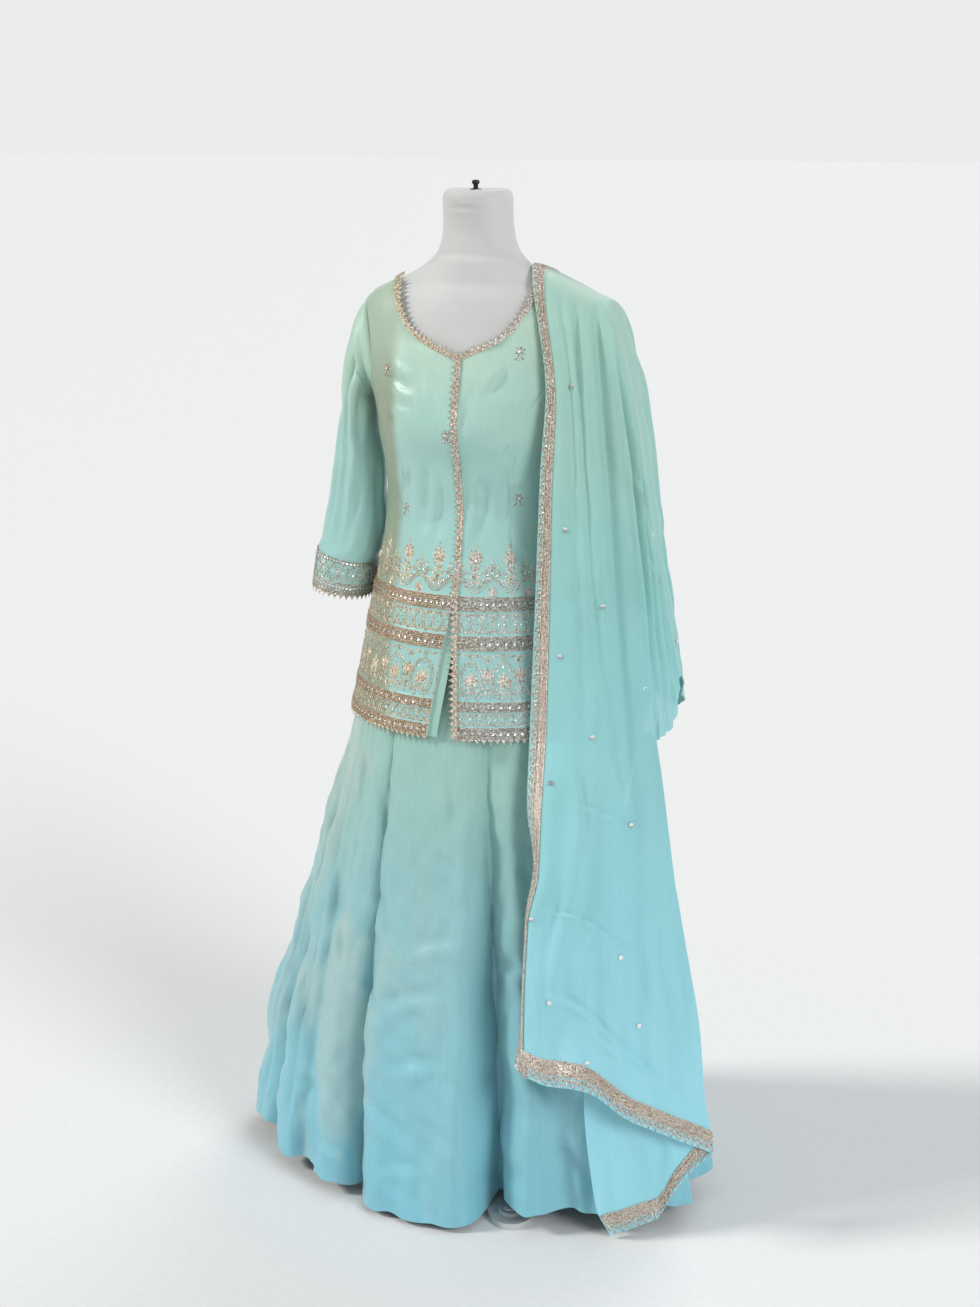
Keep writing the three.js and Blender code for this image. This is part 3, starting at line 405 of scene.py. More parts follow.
# Materials
class Nodes:
    def __init__(self, name):
        self.material = bpy.data.materials.new(name)
        self.material.use_nodes = True
        self.tree = self.material.node_tree
        self.shader = self.tree.nodes["Principled BSDF"]
        self.place = self.add("ShaderNodeTexCoord").outputs["Object"]

    def add(self, kind, **values):
        node = self.tree.nodes.new(kind)
        for key, value in values.items():
            if key in node.inputs:
                node.inputs[key].default_value = value
            else:
                setattr(node, key, value)
        return node

    def link(self, source, target):
        self.tree.links.new(source, target)

    def feed(self, socket, source):
        self.link(source, self.shader.inputs[socket])

    def set(self, **values):
        for key, value in values.items():
            self.shader.inputs[key.replace("_", " ")].default_value = value

    def axes(self):
        node = self.add("ShaderNodeSeparateXYZ")
        self.link(self.place, node.inputs[0])
        return node.outputs

    def math(self, operation, a, b):
        node = self.add("ShaderNodeMath", operation=operation)
        for socket, value in zip(node.inputs, (a, b)):
            if isinstance(value, (int, float)):
                socket.default_value = value
            else:
                self.link(value, socket)
        return node.outputs[0]

    # Noise of one scale, or of a scale along each axis
    def noise(self, scale, detail=3, rough=0.5, turn=(0, 0, 0)):
        vector = self.place
        if isinstance(scale, tuple):
            stretch = self.add("ShaderNodeMapping", Scale=scale, Rotation=turn)
            self.link(vector, stretch.inputs["Vector"])
            vector, scale = stretch.outputs[0], 1.0
        node = self.add("ShaderNodeTexNoise", Scale=scale, Detail=detail, Roughness=rough)
        self.link(vector, node.inputs["Vector"])
        return node.outputs[0]

    def wave(self, scale, direction, distortion):
        node = self.add("ShaderNodeTexWave", Scale=scale, Distortion=distortion, Detail=1.0)
        node.bands_direction = direction
        self.link(self.place, node.inputs["Vector"])
        return node.outputs[1]

    # Stops are a place and a colour, or one number for a grey
    def ramp(self, value, stops, smooth="EASE"):
        node = self.add("ShaderNodeValToRGB")
        node.color_ramp.interpolation = smooth
        elements = node.color_ramp.elements
        while len(elements) < len(stops):
            elements.new(0.5)
        for element, (at, color) in zip(elements, stops):
            element.position = at
            element.color = (*np.broadcast_to(color, 3).tolist(), 1)
        self.link(value, node.inputs[0])
        return node.outputs[0]

    def blend(self, amount, a, b, mode="MIX"):
        node = self.add("ShaderNodeMix", data_type="RGBA", blend_type=mode)
        self.link(amount, node.inputs[0])
        for socket, value in ((node.inputs[6], a), (node.inputs[7], b)):
            if isinstance(value, tuple):
                socket.default_value = (*value, 1)
            else:
                self.link(value, socket)
        return node.outputs[2]

    def bump(self, layers):
        normal = None
        for height, strength, distance in layers:
            node = self.add("ShaderNodeBump", Strength=strength, Distance=distance)
            self.link(height, node.inputs["Height"])
            if normal is not None:
                self.link(normal, node.inputs["Normal"])
            normal = node.outputs[0]
        self.feed("Normal", normal)


# Linear colour from an sRGB triple
def tint(r, g, b):
    def linear(v):
        v /= 255
        return v / 12.92 if v <= 0.04045 else ((v + 0.055) / 1.055) ** 2.4

    return tuple(linear(v) for v in (r, g, b))


# Colours of the silks by height in mm; the warmer, yellower top stops of the kurti and the veil are painted
# warm light on the shoulders
STOPS_TOP = 1500
KURTI_STOPS = [
    (700, (150, 196, 194)),
    (1000, (156, 200, 194)),
    (1140, (158, 200, 192)),
    # From here up, the kurti's colour warms into painted warm light on the shoulders
    (1230, (170, 204, 190)),
    (1340, (184, 206, 184)),
]
SKIRT_STOPS = [
    (0, (128, 192, 208)),
    (160, (132, 190, 202)),
    (400, (138, 188, 194)),
    (640, (146, 188, 182)),
    (760, (152, 192, 180)),
]
VEIL_STOPS = [
    (0, (166, 232, 246)),
    (250, (166, 230, 242)),
    (600, (158, 220, 226)),
    (950, (156, 214, 210)),
    # The veil's two top stops warm into painted warm light on the shoulder
    (1300, (174, 216, 202)),
    (1400, (186, 212, 192)),
]
# Grey of the painted sheen on the skirt's lit side
SHEEN_GREY = tint(172, 192, 186)
# Olive of the painted warm reflection on the kurti's right side
REFLECTED_OLIVE = tint(138, 146, 120)
SLUB_LIGHT = (1.0, 1.0, 1.0)
STREAK_SHADE = (0.30, 0.45, 0.42)
# Painted highlight on the tops of the metallic stitches
STITCH_HIGHLIGHT = (0.95, 0.93, 0.88)
CHIFFON_ALPHA = 0.74


# Silk that runs from one colour to the next with height, with a fine weave and soft creases
def silk(name, stops, rough, crease, alpha=1.0, sheen=0.25, patch=None):
    n = Nodes(name)
    axes = n.axes()
    drift = n.math("MULTIPLY", n.math("SUBTRACT", n.noise(5.0, 2), 0.5), 0.3)
    share = n.math("DIVIDE", n.math("ADD", axes[2], drift), STOPS_TOP * MM)
    color = n.ramp(share, [(z / STOPS_TOP, tint(*stop)) for z, stop in stops], "LINEAR")
    slubs = n.noise((260, 260, 9))
    streak = n.noise((22, 22, 3), 3, 0.6)
    color = n.blend(n.ramp(slubs, [(0.35, 0), (0.75, 0.09)]), color, SLUB_LIGHT, "SOFT_LIGHT")
    color = n.blend(n.ramp(streak, [(0.3, 0.13), (0.62, 0)]), color, STREAK_SHADE, "SOFT_LIGHT")
    if patch:
        color = patch(n, axes, color)
    n.feed("Base Color", color)
    n.feed("Roughness", n.ramp(streak, [(0.25, rough + 0.1), (0.7, rough - 0.07)]))
    threads = n.math("ADD", n.wave(520.0, "X", 0.6), n.wave(560.0, "Z", 0.6))
    rumple = n.noise((16, 16, 7), 4, 0.55, turn=(0.3, 0.4, 0.0))
    pressed = n.noise((7, 7, 30), turn=(0.5, -0.35, 0.2))
    n.bump([(rumple, crease, 0.006), (pressed, crease * 0.5, 0.003), (threads, 0.05, 0.0004)])
    n.set(Sheen_Weight=sheen, Sheen_Roughness=0.4, Specular_IOR_Level=0.45, Alpha=alpha)
    return n.material


# Painted sheen: the skirt's silk turns greyer in clouds on the wearer's right, where the light falls on it
def painted_sheen_side(n, axes, color):
    right = n.ramp(n.math("SUBTRACT", 0.5, axes[0]), [(0.42, 0), (0.66, 1)])
    cloud = n.ramp(n.noise((9, 9, 4)), [(0.46, 0), (0.6, 0.5)])
    return n.blend(n.math("MULTIPLY", right, cloud), color, SHEEN_GREY)


# Painted reflection: the kurti has an olive cast of warm reflected light on the wearer's right, strongest
# below the bust
def painted_warm_reflection(n, axes, color):
    right = n.ramp(n.math("MULTIPLY", axes[0], -1.0), [(0.080, 0), (0.098, 0.85)])
    front = n.ramp(n.math("MULTIPLY", axes[1], -1.0), [(0.0, 0), (0.04, 1)])
    low = n.ramp(n.math("MULTIPLY", axes[2], 0.5), [(0.59, 1), (0.65, 0.45)])
    share = n.math("MULTIPLY", n.math("MULTIPLY", right, front), low)
    return n.blend(share, color, REFLECTED_OLIVE)


# Metallic thread: slanted stitches with painted shade between them and painted highlights on their tops,
# gold to silver across, the gold partly the thread's own colour and partly a painted warm reflection
def zari(name, gold_and_reflection, silver, gap_shade, stitch=380.0, metallic=0.4):
    n = Nodes(name)
    drift = n.math("MULTIPLY", n.math("SUBTRACT", n.noise(26.0), 0.5), 0.14)
    across = n.math("ADD", n.axes()[0], drift)
    # Gold on one side is partly the thread's colour and partly a painted warm reflection
    side = n.ramp(n.math("ADD", across, 0.5), [(0.46, 0), (0.56, 1)])
    ground = n.blend(side, tint(*gold_and_reflection), tint(*silver))
    speck = n.noise(420.0, 2, 0.7)
    # Painted shade between the stitches, then painted highlights on their tops
    color = n.blend(n.ramp(speck, [(0.4, 0.8), (0.53, 0)]), ground, tint(*gap_shade))
    color = n.blend(n.ramp(speck, [(0.56, 0), (0.66, 0.9)]), color, STITCH_HIGHLIGHT)
    n.feed("Base Color", color)
    n.feed("Roughness", n.ramp(speck, [(0.3, 0.5), (0.7, 0.2)]))
    n.bump([(n.wave(stitch, "DIAGONAL", 1.5), 0.5, 0.0008), (speck, 0.6, 0.0008)])
    n.set(Metallic=metallic, Specular_IOR_Level=0.7)
    return n.material


def mirror(name):
    n = Nodes(name)
    shade = n.ramp(n.noise(300.0, 2), [(0.3, (0.75, 0.77, 0.76)), (0.7, (0.95, 0.95, 0.93))])
    n.feed("Base Color", shade)
    n.bump([(n.noise(180.0, 2), 0.2, 0.0006)])
    n.set(Metallic=1.0, Roughness=0.12)
    return n.material


# Stretch knit of the dress form
def form_cloth(name):
    n = Nodes(name)
    shade = n.ramp(n.noise(6.0), [(0.3, tint(190, 190, 188)), (0.7, tint(204, 204, 202))])
    n.feed("Base Color", shade)
    n.feed("Roughness", n.ramp(n.noise(40.0, 2), [(0.3, 0.72), (0.7, 0.86)]))
    n.bump([(n.noise((8, 8, 26)), 0.2, 0.003), (n.wave(420.0, "Z", 1.2), 0.08, 0.0005)])
    n.set(Sheen_Weight=0.3, Sheen_Roughness=0.5)
    return n.material


def metal(name, color, rough, metallic=1.0):
    n = Nodes(name)
    brushed = n.noise((30, 30, 900))
    wear = n.noise(22.0, 4, 0.6)
    worn = tuple(v * 0.8 for v in tint(*color))
    n.feed("Base Color", n.ramp(wear, [(0.3, worn), (0.7, tint(*color))]))
    n.feed("Roughness", n.ramp(brushed, [(0.3, rough + 0.12), (0.7, rough - 0.06)]))
    n.bump([(brushed, 0.12, 0.0003), (wear, 0.08, 0.0008)])
    n.set(Metallic=metallic)
    return n.material


kurti_silk = silk("kurti_silk", KURTI_STOPS, 0.42, 0.45, patch=painted_warm_reflection)
sleeve_silk = silk("sleeve_silk", KURTI_STOPS, 0.42, 0.5)
skirt_silk = silk("skirt_silk", SKIRT_STOPS, 0.42, 0.5, patch=painted_sheen_side)
chiffon = silk("dupatta_chiffon", VEIL_STOPS, 0.5, 0.3, alpha=CHIFFON_ALPHA, sheen=0.5)
zari_lace = zari("zari_lace", (190, 158, 122), (186, 180, 172), (104, 78, 54))
zari_silver = zari("zari_silver", (206, 194, 176), (202, 200, 196), (116, 104, 92))
zari_border = zari("zari_border", (232, 212, 186), (226, 216, 204), (146, 118, 94), 360.0)
thread_cream = zari("thread_cream", (222, 206, 176), (218, 214, 204), (140, 108, 84), 400.0, 0.3)
mirror_disc = mirror("mirror_disc")
form_cover = form_cloth("form_cover")
stand_metal = metal("stand_metal", (206, 208, 210), 0.42, 0.35)
dark_metal = metal("dark_metal", (70, 62, 54), 0.4)


# Dress form: creases of its cover by angle and height, depth and half width in mm
COVER_CREASES = [
    (-90, 1384, 90, 1376, 1.2, 4), (-60, 1448, 70, 1442, 0.9, 3.5),
    (-100, 1318, 90, 1308, 0.8, 5), (-20, 1462, 50, 1456, 0.7, 3),
]
# Rings of the gathered neck top: share of the neck's size and lift
GATHERED_RINGS = [(0.93, 2.2), (0.82, 2.6), (0.66, 1.2), (0.48, -1.0), (0.3, -2.4), (0.14, -3.0)]


# The stretch cover, gathered at the neck top round a metal stud
def dress_form():
    heights = np.concatenate([np.linspace(FORM_BOTTOM, 1320, 56), np.linspace(1323, NECK_TOP, 56)])
    u = np.linspace(0, TURN, 97)[:-1]
    U, Z = np.meshgrid(u, heights)
    around = (U + 180) % TURN - 180
    dent = creases(around, Z, COVER_CREASES) + 0.35 * unevenness(around, Z, 60, 3)
    points = [proud(form, U, Z, dent)]
    neck = form(u, np.full_like(u, float(NECK_TOP)))
    centre = np.array([0, -12.0, NECK_TOP])
    tops = []
    for share, lift in GATHERED_RINGS:
        gather = 1.1 * np.sin(u * DEG * 17 + 0.8 * np.sin(u * DEG * 5)) * (1 - share) * 1.6
        ring = centre + (neck - centre) * share
        ring[:, 2] += lift + gather
        tops.append(ring)
    points.append(np.array(tops))
    bottom = form(u, np.full_like(u, float(FORM_BOTTOM)))
    points.insert(0, (bottom * [0.55, 0.55, 1])[None])
    grid = np.concatenate(points)
    count, cols = grid.shape[:2]
    index = np.arange(count * cols).reshape(count, cols)
    index = np.hstack([index, index[:, :1]])
    faces = quads(index).tolist()
    faces.append(index[0, :-1][::-1].tolist())
    faces.append(index[-1, :-1].tolist())
    mesh = plain_mesh("dress_form_cover", grid.reshape(-1, 3), faces, sharp=60)
    return put("dress_form_cover", mesh, form_cover, ["dress_form"])


# Turned solid from (radius, height) pairs round a vertical axis, with its middle at x, y
def turned(profile, sides, x=0.0, y=0.0):
    u = np.linspace(0, 2 * math.pi, sides + 1)[:-1]
    points = [(x + r * math.cos(a), y + r * math.sin(a), z) for r, z in profile for a in u]
    faces = []
    for i in range(len(profile) - 1):
        for j in range(sides):
            k = (j + 1) % sides
            faces.append([i * sides + j, i * sides + k, (i + 1) * sides + k, (i + 1) * sides + j])
    faces.append(list(range(sides))[::-1])
    faces.append([(len(profile) - 1) * sides + j for j in range(sides)])
    return points, faces


def join(parts):
    points, faces = [], []
    for some, sides in parts:
        start = len(points)
        points += [tuple(p) for p in some]
        faces += [[start + i for i in f] for f in sides]
    return points, faces


# Profiles as radius and height
STUD_PROFILE = [
    (9, 1468), (9, 1474), (7.5, 1475.5), (3.4, 1476), (3.2, 1481),
    (5, 1482.5), (5.4, 1485), (4.4, 1487), (1, 1487.6),
]
STUD_Y = -13
SCREW_PROFILE = [
    (17, 10), (17, 13), (15.5, 14.5), (9, 15), (8.4, 17), (6.5, 18), (3, 18.3), (2.6, 16.8),
    (0.5, 16.6),
]
ARMS = 4
ARM_ANGLE = -55
SCREW_REACH = 178


def neck_stud():
    points, faces = turned(STUD_PROFILE, 24, 0, STUD_Y)
    put("neck_stud", plain_mesh("neck_stud", points, faces, sharp=40), dark_metal)


# The stand's solids with softened edges, and a levelling screw at the end of each arm
def stand():
    for name in ("stand_base", "stand_collar", "stand_pole"):
        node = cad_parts[name]
        for slot in node.material_slots:
            slot.material = stand_metal
        bevel = node.modifiers.new("edge", "BEVEL")
        bevel.width = 0.0012
        bevel.segments = 3
        bevel.limit_method = "ANGLE"
        bevel.angle_limit = math.radians(35)
    parts = []
    for k in range(ARMS):
        angle = (ARM_ANGLE + TURN / ARMS * k) * DEG
        x, y = SCREW_REACH * math.cos(angle), SCREW_REACH * math.sin(angle)
        parts.append(turned(SCREW_PROFILE, 28, x, y))
    points, faces = join(parts)
    put("foot_screws", plain_mesh("foot_screws", points, faces, sharp=40), stand_metal)


# Kurti
def band_relief(z):
    total = 0
    for low, high in RAISED_BANDS:
        total = total + step_up(z, low - BAND_EDGE, low) * (1 - step_up(z, high, high + BAND_EDGE))
    return BAND_RELIEF * total


def side_seam_height(z):
    return z if z < SIDE_START else mix(SIDE_START, ARMPIT_Z, (z - SIDE_START) / (V_HEIGHT - SIDE_START))


BODY_ROWS = sorted(
    [738, 755, 758, 825, 970, 1008, 1045, 1085, 1125, 1165, 1200, 1230, V_HEIGHT]
    + [z for a, b in RAISED_BANDS[1:] for z in (a - BAND_EDGE, a, b, b + BAND_EDGE)]
)


def angle_at(x, z):
    return math.degrees(math.asin(x / float(kurti_width(z))))


# Angle of the front opening's edge, which spreads below the top of the slit
def slit_angle(side, z):
    share = np.clip((SLIT_TOP - z) / (SLIT_TOP - KURTI_HEM), 0, 1)
    x = mix(CENTRE_X, SLIT_X[side], share) + side * OPENING_GAP
    return np.degrees(np.arcsin(x / kurti_width(z)))


def neckline_edge(side):
    points = []
    for half, z in NECKLINE:
        x = CENTRE_X * (1 - half / 110) + side * half
        if half == 0:
            x = CENTRE_X + side * OPENING_GAP
        points.append([angle_at(x, z), z])
    return points + [[side * 90, SHOULDER_NECK_Z]]


def armhole_points(side, w_from, w_to, n):
    w = np.linspace(w_from, w_to, n)
    return np.stack([side * armhole_at["u"](w), armhole_at["z"](w)], -1).tolist()


def between(left, right, n):
    t = np.linspace(0, 1, n)[None, :, None]
    return mix(np.array(left)[:, None], np.array(right)[:, None], t)


def patch_cells(left, right, bottom, top):
    left, right, bottom, top = (np.array(e, float) for e in (left, right, bottom, top))
    t = np.linspace(0, 1, len(left))[:, None, None]
    s = np.linspace(0, 1, len(bottom))[None, :, None]
    sides = mix(left[:, None], right[:, None], s) + mix(bottom[None], top[None], t)
    corners = mix(mix(left[0], right[0], s), mix(left[-1], right[-1], s), t)
    return sides - corners


def princess_edge(side):
    return [[side * float(princess(z)), z] for z in BODY_ROWS]


def centre_front_cells(side):
    opening = [[float(slit_angle(side, z)), z] for z in BODY_ROWS[:-1]] + neckline_edge(side)
    arm = armhole_points(side, 90, 0, len(NECKLINE) + 1)[1:]
    cells = between(opening, princess_edge(side) + arm, 7)
    return cells if side > 0 else cells[:, ::-1]


def side_front_cells(side):
    seam = princess_edge(side)
    outer = [[side * 90, side_seam_height(z)] for z in BODY_ROWS]
    top = armhole_points(side, 90, 180, 6)
    top[0], top[-1] = seam[-1], outer[-1]
    foot = between([seam[0]], [outer[0]], 6)[0]
    cells = patch_cells(seam, outer, foot, top)
    return cells if side > 0 else cells[:, ::-1]


def back_edge(side):
    body = [[90 if side > 0 else 270, side_seam_height(z)] for z in BODY_ROWS]
    w = np.linspace(180, 0, len(NECKLINE) + 1)[1:]
    u = 180 - side * armhole_at["u"](w)
    return body + np.stack([u, armhole_at["z"](w)], -1).tolist()


def back_cells():
    left, right = back_edge(1), back_edge(-1)
    across = np.linspace(0, 1, 25)
    dip = np.abs(2 * across - 1)
    out = np.clip((dip - BACK_SHOULDER) / (1 - BACK_SHOULDER), 0, 1)
    shoulder = mix(SHOULDER_NECK_Z, SHOULDER_TIP_Z, out)
    neck = mix(BACK_NECK_Z, SHOULDER_NECK_Z, np.minimum(1, dip / BACK_SHOULDER) ** 4)
    height = np.where(dip >= BACK_SHOULDER, shoulder, neck)
    top = np.stack([mix(left[-1][0], right[-1][0], across), height], -1)
    foot = between([left[0]], [right[0]], len(across))[0]
    return patch_cells(left, right, foot, top)


# Creases of the kurti, in mm: across and up at each end, depth and half width
FRONT_CREASES = [
    (78, 1247, 46, 1205, 1.6, 7), (-60, 1215, -100, 1236, 2.2, 7), (-48, 1190, -102, 1205, 1.8, 6),
    (-70, 1168, -112, 1176, 1.8, 6), (-16, 1108, -34, 985, 1.6, 7), (-40, 1120, -52, 1010, 1.4, 8),
    (-62, 1100, -88, 1060, 1.5, 6), (44, 1100, 28, 992, 1.5, 8), (70, 1120, 62, 1020, 1.3, 9),
    (20, 1060, 60, 1030, 1.0, 6), (-12, 1040, -60, 1022, 1.1, 6), (92, 1150, 60, 1120, 1.5, 7),
    (100, 1090, 70, 1070, 1.2, 6), (-110, 1060, -80, 1044, 1.6, 5), (-112, 1030, -78, 1022, 1.4, 5),
    (30, 1225, 12, 1150, 0.9, 8), (-30, 1240, -20, 1170, 0.9, 9), (110, 960, 80, 1000, 1.2, 7),
]
BACK_CREASES = [
    (150, 1200, 205, 1225, 2.0, 9), (320, 1205, 262, 1230, 2.0, 9), (160, 1070, 230, 1050, 1.8, 7),
    (300, 1072, 240, 1040, 1.7, 7), (170, 1110, 220, 1130, 1.4, 9), (235, 1020, 240, 900, 1.5, 12),
    (190, 1000, 180, 880, 1.4, 11), (285, 1010, 296, 885, 1.4, 11), (250, 1290, 236, 1200, 1.2, 10),
]


def kurti_dent(U, Z):
    round_it = U * DEG * KURTI_ROUND
    in_front = np.cos(U * DEG) > 0
    front = creases(kurti(U, Z)[..., 0], Z, FRONT_CREASES) * in_front
    back = creases(round_it, Z, BACK_CREASES) * ~in_front
    free = step_up(Z, 935, 1000)
    return (2.0 * (front + back) + 1.1 * unevenness(round_it, Z, 90, 11)) * free


# Cuts of the kurti's panels: width and length in metres, and area
FRONT_CUT = ((0.14, 0.62), 0.075)
SIDE_CUT = ((0.17, 0.47), 0.065)
BACK_CUT = ((0.52, 0.62), 0.27)


def kurti_panel(name, node, cells, flat, area):
    U, Z = cells[..., 0], cells[..., 1]
    dent = kurti_dent(U, Z)
    cols = cells.shape[1]
    edge = np.minimum(np.arange(cols), np.arange(cols)[::-1]) * np.ones_like(U)
    dent = dent * step_up(edge, 0, 2) - 0.5 * (edge < 1)
    outer = proud(kurti, U, Z, CLOTH + band_relief(Z) + dent)
    inner = proud(kurti, U, Z, np.minimum(0.3, dent * 0.5))
    uv = np.stack([U * DEG * KURTI_ROUND, Z], -1)
    obj = shell_object(name, outer, inner, uv, kurti_silk, [node])


# Sleeves
def sleeve_point(side, row, w):
    share = (1 + np.cos(w * DEG)) / 2
    x = mix(sleeve_at["xi"](row), sleeve_at["xo"](row), share)
    z = mix(sleeve_at["zi"](row), sleeve_at["zo"](row), share)
    y = sleeve_at["y"](row) - sleeve_at["depth"](row) * np.sin(w * DEG)
    return vec(side * x, y, z)


def armhole_loop(side, w, inset):
    half = np.where(w <= 180, w, TURN - w)
    u = armhole_at["u"](half)
    u = np.where(w <= 180, u, 180 - u)
    p = kurti(u, armhole_at["z"](half))
    towards = kurti(np.array(90.0), np.array(1262.0)) - p
    towards[..., 0] = 0
    p = p + unit(towards) * inset
    return p * [side, 1, 1]


# Creases of the sleeve: row and angle at each end, depth and half width in mm
SLEEVE_CREASES = [
    (0.4, 120, 3.2, 60, 4.5, 8), (0.5, 100, 5.5, 78, 4.0, 9), (0.8, 142, 4.5, 112, 4.0, 8),
    (2.4, 52, 6.4, 66, 3.0, 9), (3.6, 96, 7.6, 88, 2.8, 8), (1.2, 30, 4.6, 36, 2.6, 11),
    (5.0, 118, 7.8, 100, 2.6, 8), (4.4, 72, 7.4, 56, 2.4, 7), (0.8, 196, 5.0, 210, 3.4, 10),
    (1.0, 250, 5.8, 262, 3.0, 10), (3.0, 300, 7.4, 290, 2.6, 9), (4.0, 160, 7.4, 170, 2.4, 9),
]


def sleeve_dent(row, w):
    across, down = w * SLEEVE_ROUND, row * SLEEVE_STEP
    lines = [
        (a0 * SLEEVE_ROUND, r0 * SLEEVE_STEP, a1 * SLEEVE_ROUND, r1 * SLEEVE_STEP, depth, wide)
        for r0, a0, r1, a1, depth, wide in SLEEVE_CREASES
    ]
    fine = 1.2 * crumple(across, down * 0.7, 60, 51) + 0.7 * np.sin(down / 21 + across / 30)
    return 1.3 * creases(across, down, lines) + fine * step_up(row, 1, 4)


# The way out of the sleeve's surface
def sleeve_normal(side, row, w):
    def surface(p, q):
        return sleeve_point(side, q, p)

    return normal_of(surface, w, row, 1, 0.02) * side


# Shares of the way from the sleeve's last row to the armhole, where the silk swells a little
EASE = np.array([0.3, 0.62, 0.88, 1.0])[:, None, None]


def sleeve(side, hand):
    rows = np.concatenate([np.linspace(SLEEVE_END, 8, 6)[:-1], np.linspace(8, 0, 90)])
    turn = np.linspace(0, TURN, 85)[:-1]
    w = TURN - turn if side > 0 else turn
    W, R = np.meshgrid(w, rows)
    n = sleeve_normal(side, R, W)
    fade = step_up(R, 0, 0.6) * (1 - step_up(R, 7.4, 8.2))
    dent = sleeve_dent(R, W) * fade
    base = sleeve_point(side, R, W)
    outer = base + n * dent[..., None]
    inner = base + n * (dent - CLOTH)[..., None]
    loop_out = armhole_loop(side, w, 1.2)
    loop_in = armhole_loop(side, w, 2.9)
    swell = 2.5 * np.sin(EASE * math.pi)
    out_rows = mix(outer[-1][None], loop_out[None], EASE) + n[-1][None] * swell
    in_rows = mix(inner[-1][None], loop_in[None], EASE) + n[-1][None] * swell
    outer, inner = np.concatenate([outer, out_rows]), np.concatenate([inner, in_rows])
    uv = np.stack(np.meshgrid(turn * 0.9, np.arange(len(outer)) * 4.4), -1)
    name = f"sleeve_silk_{hand}"
    obj = shell_object(name, outer, inner, uv, sleeve_silk, [f"sleeve_{hand}"], closed=True)


# Skirt
def fold_growth(z):
    return np.maximum(0, (FOLD_TOP - z) / FOLD_TOP) ** 1.25


# A deep fold has a sharper core and soft ridges beside it
DEEP_FOLD = 10
FOLD_CORE = 0.85
FOLD_RIDGE = 0.28


def skirt_fold(u, z):
    t = np.clip((FOLD_TOP - z) / FOLD_TOP, 0, 1)
    total = 0
    for top, hem, depth, half in SKIRT_FOLDS:
        away = np.abs((u - mix(top, hem, t) + 180) % TURN - 180)
        shape = np.exp(-((away / half) ** 2))
        if depth > DEEP_FOLD:
            shape = shape + FOLD_CORE * np.exp(-((away / (0.32 * half)) ** 2))
            shape = shape - FOLD_RIDGE * np.exp(-(((away - 1.35 * half) / (0.5 * half)) ** 2))
        total = total - depth * fold_growth(z) * shape
    return total


def skirt(u, z):
    p = skirt_body(u, z)
    n = normal_of(skirt_body, u, z, 0.05, 0.5)
    n[..., 2] = 0
    return p + unit(n) * skirt_fold(u, z)[..., None]


# Creases of the skirt: u and z at each end, depth and half width in mm
SKIRT_CREASES = [
    (-10, 420, 8, 452, 2.6, 9), (-18, 330, 4, 372, 3.0, 10), (-14, 238, 6, 268, 2.8, 9),
    (-2, 560, 9, 548, 1.8, 7), (-26, 500, -16, 420, 3.2, 10), (-38, 430, -28, 300, 3.6, 11),
    (-48, 520, -44, 400, 3.0, 10), (-54, 330, -46, 220, 3.6, 12), (-20, 190, -6, 120, 3.0, 10),
    (-34, 200, -24, 110, 3.2, 10), (-62, 420, -58, 260, 3.2, 11), (-4, 150, 4, 60, 2.6, 8),
    (-12, 640, -6, 520, 1.8, 8), (-30, 660, -24, 560, 2.0, 8), (-44, 690, -40, 590, 2.0, 8),
    (2, 690, 6, 600, 1.6, 7), (20, 420, 30, 380, 2.4, 9), (22, 300, 34, 180, 2.6, 10),
    (30, 140, 42, 90, 2.6, 9), (-8, 340, 0, 300, 2.0, 7), (-30, 360, -12, 300, 2.4, 8),
    (-50, 160, -36, 140, 2.6, 9), (-40, 90, -22, 70, 2.4, 8), (-14, 80, 0, 100, 2.2, 8),
    (70, 500, 78, 330, 3.2, 11), (96, 420, 104, 250, 3.4, 11), (120, 560, 124, 380, 3.0, 10),
    (142, 380, 150, 200, 3.6, 12), (168, 520, 172, 340, 3.0, 10), (186, 400, 192, 210, 3.6, 11),
    (212, 560, 216, 400, 3.0, 10), (236, 400, 242, 200, 3.4, 12), (262, 500, 258, 330, 3.0, 10),
    (84, 230, 100, 130, 3.0, 10), (130, 200, 146, 110, 3.0, 10), (178, 180, 196, 100, 3.2, 10),
    (222, 220, 240, 120, 3.2, 10), (268, 260, 282, 150, 3.2, 10), (112, 640, 118, 540, 2.0, 8),
    (204, 660, 210, 560, 2.0, 8),
]
# Millimetres round the skirt for each degree, for creases and the weave
SKIRT_ARC = 4.6


def skirt_dent(u, z):
    across = ((u + 100) % TURN - 100) * SKIRT_ARC
    lines = [
        (u0 * SKIRT_ARC, z0, u1 * SKIRT_ARC, z1, depth, wide)
        for u0, z0, u1, z1, depth, wide in SKIRT_CREASES
    ]
    free = 1 - step_up(z, 640, 800)
    soft = 1.8 * unevenness(across, z * 0.45, 95, 21) + 0.8 * unevenness(across, z * 0.8, 42, 22)
    flutter = 3.2 * np.sin(u * DEG * 41 + 1.7 * np.sin(u * DEG * 9)) * (1 - step_up(z, 20, 230))
    sharp = 3.0 * crumple(across, z * 0.42, 110, 23) + 1.6 * crumple(across, z * 0.5, 56, 24)
    sharp = sharp * (1 - step_up(z, 420, 680))
    return (1.7 * creases(across, z, lines) + 1.3 * soft + sharp + flutter) * free


